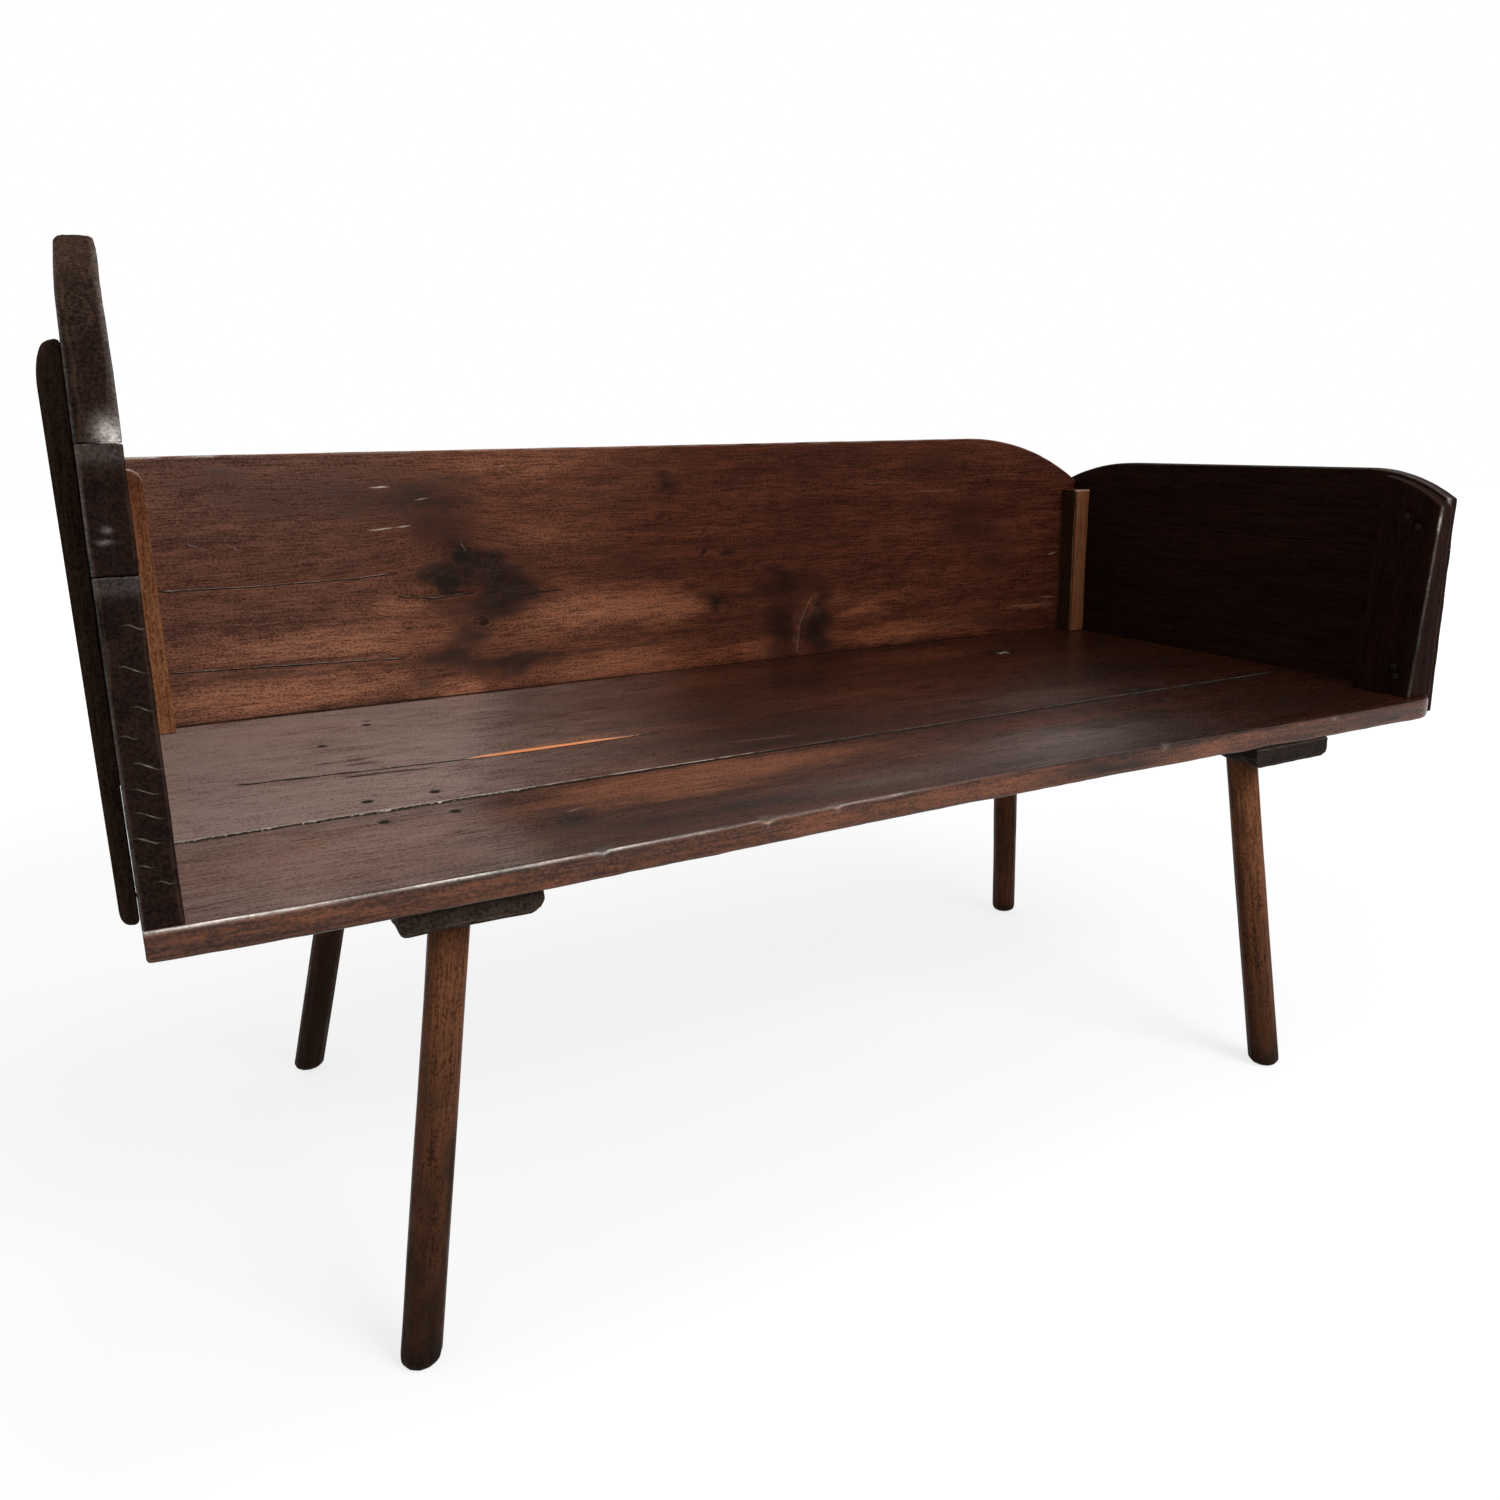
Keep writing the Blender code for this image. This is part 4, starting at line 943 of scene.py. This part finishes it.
def make_tall_end():
    """Three boards on edge, leaning in a little; the lower one is scarred along its front."""
    proud = {"lower": 0.0008, "middle": 0.0, "top": 0.0}
    for number, (word, ahead) in enumerate(proud.items()):
        node = f"tall_end_{word}_board"
        low, high = bench_box(node)
        start = low[1] - ahead

        def tone(a, b, n, low=low, high=high, start=start, crowned=(word == "top")):
            place = n - lean(b)
            front = bell(a - start, 0.003)
            if crowned:
                half = (high[1] - low[1]) / 2
                out = np.hypot((a - low[1] - half) / half, (b - low[2]) / (high[2] - low[2]))
                front = eased((out - 0.97) / 0.02) * (a < low[1] + half)
            # Painted highlights on the front edge: patches on the crown and a line down its inner arris, a
            # band and a line under each lower board's top, a line down the outer arris, and glints on two
            # dents
            highlight = 0.45 * dots(b, place, TALL_HIGHLIGHTS) if crowned else 0.05 * bell(b - high[2] + 0.006, 0.006)
            arris_highlight = 0.10 * bell(place - high[0], 0.0025) if crowned else 0.06 * bell(high[2] - b, 0.0010)
            highlight = highlight + arris_highlight + 0.16 * bell(place - low[0], 0.0012) + 0.16 * dots(b, place, TALL_DENT_GLINTS)
            # Painted light from above: the crown is drawn lighter towards its top
            warm = 0.18 * cloud(a, b, 0.12, 0.03, 91) + 0.65 * eased((b - 0.36) / 0.12) * crowned
            seam = bell(b - low[2], 0.0012) * (low[2] > LINE_REACH)
            rift, torn = nearest_line(place, b, slanting_cuts())
            torn = torn * bell(rift, CUT_REACH) * front
            return {"rift": CUT_NARROWING * rift, "torn": torn, "warm": np.clip(warm, 0, 1),
                    "hollow": seam * front, "shine": highlight * front}

        lay = strip(start, high[1], level(low[2]), level(high[2]))
        size = (high[1] - start, high[2] - low[2])
        outer = (0.0025, 0.0025, 0.0012, 0.0014)
        inner = outer
        if word == "top":
            lay = arch(low[1], high[1], low[2], high[2] - low[2])
            size = ARCH_SPREAD
            outer = (0.003, 0.003, 0.0012, 0.0062)
            inner = (0.003, 0.003, 0.0012, 0.0050)
        board(
            node, TALL_PINE, "yzx", (outer, inner), lay, size=size,
            faces=(lambda a, b, x=low[0]: x + lean(b), lambda a, b, x=high[0]: x + lean(b)),
            tone=tone, ring=SCAR_RING, seed=80 + 10 * number,
            marks=([], [(z - low[2], reach) for z, _, reach, _ in TALL_DENT_GLINTS if low[2] < z < high[2]]),
        )


def make_end_batten(word, seed):
    """An upright batten outside the tall end, its outer face curving in to a round head and a short foot."""
    node = f"tall_end_batten_{word}"
    low, high = bench_box(node)

    def outer(a, b):
        face = np.full_like(a, low[0])
        for away, (run, depth) in ((high[2] - a, END_BATTEN_HEAD), (a - low[2], END_BATTEN_FOOT)):
            past = np.clip(1 - away / run, 0.0, 1.0)
            face += depth * (1 - np.sqrt(1 - past**2))
        return face

    board(
        node, TALL_PINE, "zyx",
        ((0.004, 0.004, 0.003, 0.003), (0.003, 0.003, 0.0015, 0.0015)),
        faces=(outer, lambda a, b: high[0] + lean(a)), nails=named(f"nail_tall_{word}"), nail_side=-1,
        tone=lambda a, b, n: {"warm": 1.0 + 0.3 * cloud(a, b, 0.1, 0.02, seed)}, seed=seed,
    )


def make_low_end():
    """Two boards on edge; the upper one falls away at both ends."""
    highest = "nail_low_cleat_upper"
    outside = {"lower": [name for name in named("nail_low") if name != highest], "upper": [highest]}
    for number, (word, nails) in enumerate(outside.items()):
        node = f"low_end_{word}_board"
        low, high = bench_box(node)
        top = level(high[2])
        if word == "upper":
            top = falling(low[1], high[1], high[2], LOW_FRONT_FALL, LOW_REAR_FALL)

        def tone(a, b, n, low=low, top=top, upper=(word == "upper")):
            inside = bell(n - low[0], 0.004)
            # Painted highlights, partly pale wear: along the upper board's top arris and down the front
            # arris of the inner face
            broken = eased(0.3 + 0.9 * cloud(b, a, 0.012, 0.012, 141)) * eased((b - 0.12) / 0.08)
            edge_highlight = 0.07 * bell(top(a) - b, 0.0016) * upper
            edge_highlight = edge_highlight + (0.10 + 0.6 * broken) * bell(a - low[1], 0.002)
            # Painted shade on the low end's inner face
            return {"shine": edge_highlight * inside, "ripe": 0.25 * inside}

        board(
            node, LOW_PINE, "yzx",
            ((0.0025, 0.002, 0.0005, 0.002), (0.003, 0.003, 0.001, 0.003)),
            top=top, nails=nails, seed=130 + 10 * number, tone=tone,
        )


def make_front_cleat():
    """The tapered upright inside the low end: thickest at its foot, its head cut to the board's curve."""
    low, high = bench_box("low_end_front_cleat")
    front = bench_box("low_end_upper_board")[0][1]
    foot = high[0] - low[0]
    drop = bench_box("low_end_upper_board")[1][2]

    def inner(a, b):
        return high[0] - foot - (FRONT_CLEAT_HEAD - foot) * np.clip(b / high[2], 0.0, 1.0)

    def tone(a, b, n):
        face = bell(a - low[1], 0.006)
        inside = bell(n - inner(a, b), 0.0016)
        # A painted highlight with pale wear down the arris between the front and inner faces
        broken = eased(0.5 + 0.9 * cloud(b, a, 0.018, 0.018, 151))
        highlight = (0.15 + 0.7 * broken * eased((b - 0.12) / 0.10)) * bell(a - low[1], 0.0016) * inside
        # Painted shade on every face but the front
        return {"warm": 0.15 * face, "shine": highlight, "ripe": 0.5 * (1 - face)}

    head = falling(front, 1.0, drop - FRONT_CLEAT_DROP, LOW_FRONT_FALL)
    board(
        "low_end_front_cleat", LOW_PINE, "yzx",
        ((0.003, 0.002, 0.001, 0.003), (0.002, 0.001, 0.001, 0.002)), top=head, faces=(inner, high[0]),
        nails=named("nail_cleat"), nail_side=-1, upright=True, seed=150, tone=tone,
    )


def make_corner_cleats():
    """The cleats in the back corners; the tall end's has its head rounded to one side."""
    for word, round_head, seed in (("tall", TALL_CLEAT_ROUND, 170), ("low", 0.0, 180)):
        node = f"corner_cleat_{word}_end"
        low, high = bench_box(node)
        top = level(high[2])
        if round_head:
            top = falling(low[0], high[0], high[2], rear=(round_head, round_head))

        def tone(a, b, n, low=low, high=high, top=top, tall=(word == "tall")):
            # A painted highlight round the head
            rim = bell(top(a) - b, 0.0020) * bell(n - low[1], 0.004)
            lower = eased((high[2] - b) / 0.15)
            front = bell(n - low[1], 0.006) * eased((a - low[0]) / 0.004)
            # Painted shade on the face towards the tall end and along the back; the low end's cleat has its
            # front face painted lighter as its lit side
            stain = 0.9 * bell(a - low[0], 0.002) + 0.3 * bell(n - high[1], 0.01)
            return {"stain": stain, "shine": 0.3 * rim, "warm": 0.50 * lower if tall else 1.3 * front,
                    "ripe": np.full_like(a, 0.1 if tall else 0.6)}

        board(
            node, CLEAT_PINE, "xzy",
            ((0.002, 0.003, 0.001, 0.002), (0.001, 0.001, 0.001, 0.001)),
            top=top, upright=True, seed=seed, tone=tone,
        )


def make_seat_batten(word, below, shadow, seed):
    """A cross batten under the seat, its lower arrises rounded and its front end rough sawn."""
    node = f"seat_batten_{word}"
    front = bench_box(node)[0][1]
    board(
        node, BATTEN_PINE, "yxz", ((0.004, 0.004, *below), (0.002, 0.002, 0.002, 0.002)),
        # The shadow argument paints the whole batten darker: painted shade under the seat
        tone=lambda a, b, n: {"fleck": 0.45 * bell(a - front, 0.004), "stain": np.full_like(a, shadow)},
        seed=seed,
    )


LEG_DARKNESS = {"front_left": 0.50, "rear_left": 0.8, "front_right": 0.30, "rear_right": 0.10}


def make_leg(word, darkness, seed):
    """A splayed leg: a rounded foot, a shaft shaved in long facets, and a tenon up through the batten.

    Each ring is a circle pressed towards an even-sided figure, its facets drifting as they rise; the
    rings then slide sideways along the leg's slope.
    """
    node = f"leg_{word}"
    corners = np.array([vertex.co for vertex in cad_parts[node].data.vertices]) - CORNER
    foot_z, head_z = corners[:, 2].min(), corners[:, 2].max()
    foot, head = (corners[np.abs(corners[:, 2] - z) < LINE_GAP] for z in (foot_z, head_z))
    start, end = ((ring.min(0) + ring.max(0)) / 2 for ring in (foot, head))
    slope = (end - start) / (end[2] - start[2])
    shoulder = bench_box("seat_batten_left")[0][2] - LINE_GAP

    turn = np.linspace(0.0, np.pi / 2, FOOT_RINGS)
    shaft = np.linspace(foot_z + FOOT_ROUND, shoulder, LEG_RINGS)[1:]
    foot_radius, foot_height = LEG_RADIUS - FOOT_ROUND * (1 - np.sin(turn)), FOOT_ROUND * (1 - np.cos(turn))
    tenon = [LEG_TENON, LEG_TENON, 0.0]
    radius = np.concatenate([[0.0], foot_radius, np.full(len(shaft), LEG_RADIUS), tenon])
    height = np.concatenate([[foot_z], foot_z + foot_height, shaft, [shoulder, head_z, head_z]])
    points, quads = ringed(radius, height, LEG_SIDES)
    angle = np.arctan2(points[..., 1], points[..., 0])
    rise = points[..., 2].copy()
    drifted = angle + 0.25 * cloud(rise, 0.0 * rise, 0.25, 1.0, seed)
    corner = np.mod(drifted, 2 * np.pi / LEG_FACETS) - np.pi / LEG_FACETS
    facet = np.cos(np.pi / LEG_FACETS) / np.cos(corner)
    lumps = 0.016 * cloud(rise, 3 * np.cos(angle) + 2 * np.sin(angle), 0.07, 1.0, seed + 1)
    points[..., :2] *= (1.0 - 0.75 * (1 - facet) + lumps)[..., None]
    grain = np.stack([rise, points[..., 0], points[..., 1]], -1).reshape(-1, 3) + 0.37 * seed
    points[..., :2] += start[:2] + slope[:2] * (rise - start[2])[..., None]
    up = eased((rise - foot_z) / (shoulder - foot_z))
    foot_dark = 0.75 * bell(rise - foot_z, 0.02) + darkness * (1 - up)
    patches = cloud(rise, np.cos(angle) + 2.0 * np.sin(angle), 0.07, 0.9, seed + 2)
    foot_dark += 0.4 * np.clip(patches, 0.0, 1.0)
    warm = 0.50 * up + 0.1
    masks = {"stain": foot_dark.ravel(), "warm": warm.ravel(), "fleck": np.full(rise.size, 0.35)}
    dress(mesh_piece(node + "_worn", points.reshape(-1, 3), quads, grain, masks, LEG_PINE), node)


# The axis along which each set of nails was driven, and the way along it
NAIL_WAYS = {"seat": (2, -1), "tall": (0, 1), "cleat": (0, 1), "back": (1, -1), "low": (0, -1)}


def make_nail(node, seed):
    """A nail: a hammered head with a soft rim, a shank and a point, turned about the way it was driven."""
    low, high = bench_box(node)
    axis, way = NAIL_WAYS[node.split("_")[1]]
    length = high[axis] - low[axis]
    radius = np.array((0.0, 0.5, 0.85, 1.0, 1.0, 0.8)) * NAIL_HEAD
    depth = np.array((0.0, 0.0, 0.0001, 0.0005, 0.0012, 0.0018))
    radius = np.concatenate([radius, [NAIL_SHANK, NAIL_SHANK, 0.0]])
    depth = np.concatenate([depth, [0.0018, length - NAIL_POINT, length]])
    points, quads = ringed(radius, depth, NAIL_SIDES)
    beaten = 0.00025 * cloud(points[..., 0], points[..., 1], 0.002, 0.002, seed)
    points[..., 2] += np.where(points[..., 2] < 0.0004, beaten + 0.0002, 0.0)
    placed = np.empty_like(points)
    first, second = [other for other in range(3) if other != axis]
    middle = (low + high) / 2
    placed[..., first] = middle[first] + points[..., 0]
    placed[..., second] = middle[second] + points[..., 1]
    placed[..., axis] = (low if way > 0 else high)[axis] + way * points[..., 2]
    flat = placed.reshape(-1, 3)
    dress(mesh_piece(node + "_beaten", flat, quads, flat, {}, IRON), node)


make_seat_front()
make_seat_rear()
make_back()
make_tall_end()
make_end_batten("front", 200)
make_end_batten("rear", 210)
make_low_end()
make_front_cleat()
make_corner_cleats()
make_seat_batten("left", (BATTEN_OUTER_ROUND, BATTEN_INNER_ROUND), 0.0, 220)
# The right batten is painted darker as shade
make_seat_batten("right", (BATTEN_INNER_ROUND, BATTEN_OUTER_ROUND), 0.5, 230)
for order, (corner_word, darkness) in enumerate(LEG_DARKNESS.items()):
    make_leg(corner_word, darkness, 300 + 10 * order)
    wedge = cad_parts[f"leg_wedge_{corner_word}"]
    wedge.data.materials.clear()
    wedge.data.materials.append(WEDGE_PINE)
for order, nail in enumerate(named("nail_")):
    make_nail(nail, 400 + order)


def lit_paths(tree):
    """One for rays that the camera, gloss or glass sends out, and zero for the rest."""
    path = tree.nodes.new("ShaderNodeLightPath")
    seen = path.outputs["Is Camera Ray"]
    for word in ("Is Glossy Ray", "Is Transmission Ray"):
        either = tree.nodes.new("ShaderNodeMath")
        either.operation = "MAXIMUM"
        tree.links.new(seen, either.inputs[0])
        tree.links.new(path.outputs[word], either.inputs[1])
        seen = either.outputs[0]
    return seen


def make_floor():
    """A wide pale floor that keeps the bench's shadow and fades to white far off."""
    edge = np.linspace(-FLOOR_HALF, FLOOR_HALF, FLOOR_LINES)
    x, y = np.meshgrid(edge, edge, indexing="ij")
    points = np.stack([x, y, 0.0 * x - FLOOR_DROP], -1).reshape(-1, 3)
    index = np.arange(len(points)).reshape(x.shape)
    quads = np.stack([index[:-1, :-1], index[1:, :-1], index[1:, 1:], index[:-1, 1:]], -1).reshape(-1, 4)
    mesh = bpy.data.meshes.new("floor")
    mesh.from_pydata(points.tolist(), [], quads.tolist())
    floor = bpy.data.objects.new("floor", mesh)
    bpy.context.scene.collection.objects.link(floor)
    mix = Finish("pale floor")
    place = mix.node("ShaderNodeTexCoord", {}, {}, "Object")
    far = mix.node("ShaderNodeVectorMath", {"operation": "LENGTH"}, {0: place}, "Value").rise(*FLOOR_FADE)
    lit = Wire(mix, lit_paths(mix.tree)) * (FLOOR_TONE + (1.0 - FLOOR_TONE) * far)
    glow = mix.blend(lit, (0.0, 0.0, 0.0, 1.0), (1.0, 1.0, 1.0, 1.0))
    mesh.materials.append(mix.close(Base_Color=(0.3, 0.3, 0.3, 1.0), Roughness=0.9, Specular_IOR_Level=0.0,
                                    Emission_Color=glow, Emission_Strength=1.0))


def make_world(diffuse):
    """White where the camera, gloss or glass looks, and a softer light on everything else."""
    world = bpy.data.worlds.new("studio")
    bpy.context.scene.world = world
    world.use_nodes = True
    tree = world.node_tree
    background = tree.nodes["Background"]
    background.inputs["Color"].default_value = (1.0, 1.0, 1.0, 1.0)
    strength = tree.nodes.new("ShaderNodeMapRange")
    strength.inputs["To Min"].default_value = diffuse
    strength.inputs["To Max"].default_value = 1.0
    tree.links.new(lit_paths(tree), strength.inputs["Value"])
    tree.links.new(strength.outputs[0], background.inputs["Strength"])


def make_lamp(name, place, target, width, height, power):
    """A soft rectangular lamp at a place on the bench, facing a target."""
    lamp = bpy.data.lights.new(name, "AREA")
    lamp.shape = "RECTANGLE"
    lamp.size = width
    lamp.size_y = height
    lamp.energy = power
    item = bpy.data.objects.new(name, lamp)
    start, aim = Vector(place) + Vector(CORNER), Vector(target) + Vector(CORNER)
    item.location = start
    item.rotation_euler = (aim - start).to_track_quat("-Z", "Y").to_euler()
    bpy.context.scene.collection.objects.link(item)


def make_camera():
    """The photograph's view: yaw, then pitch, then roll, from an eye looking along the bench's depth."""
    lens = bpy.data.cameras.new("view")
    lens.sensor_width = SENSOR
    lens.lens = LENS
    camera = bpy.data.objects.new("view", lens)
    turn = Matrix.Rotation(math.radians(-CAMERA_YAW), 3, "Z")
    turn = turn @ Matrix.Rotation(math.radians(-CAMERA_PITCH), 3, "X")
    turn = turn @ Matrix.Rotation(math.radians(CAMERA_ROLL), 3, "Y") @ Matrix.Rotation(math.pi / 2, 3, "X")
    camera.matrix_world = Matrix.Translation(Vector(CAMERA_PLACE) + Vector(CORNER)) @ turn.to_4x4()
    bpy.context.scene.collection.objects.link(camera)
    bpy.context.scene.camera = camera


make_floor()
make_world(SOFT_LIGHT)
make_lamp("key", *KEY_LAMP)
make_lamp("overhead", *OVERHEAD_LAMP)
make_camera()
bpy.context.scene.view_settings.view_transform = "Standard"
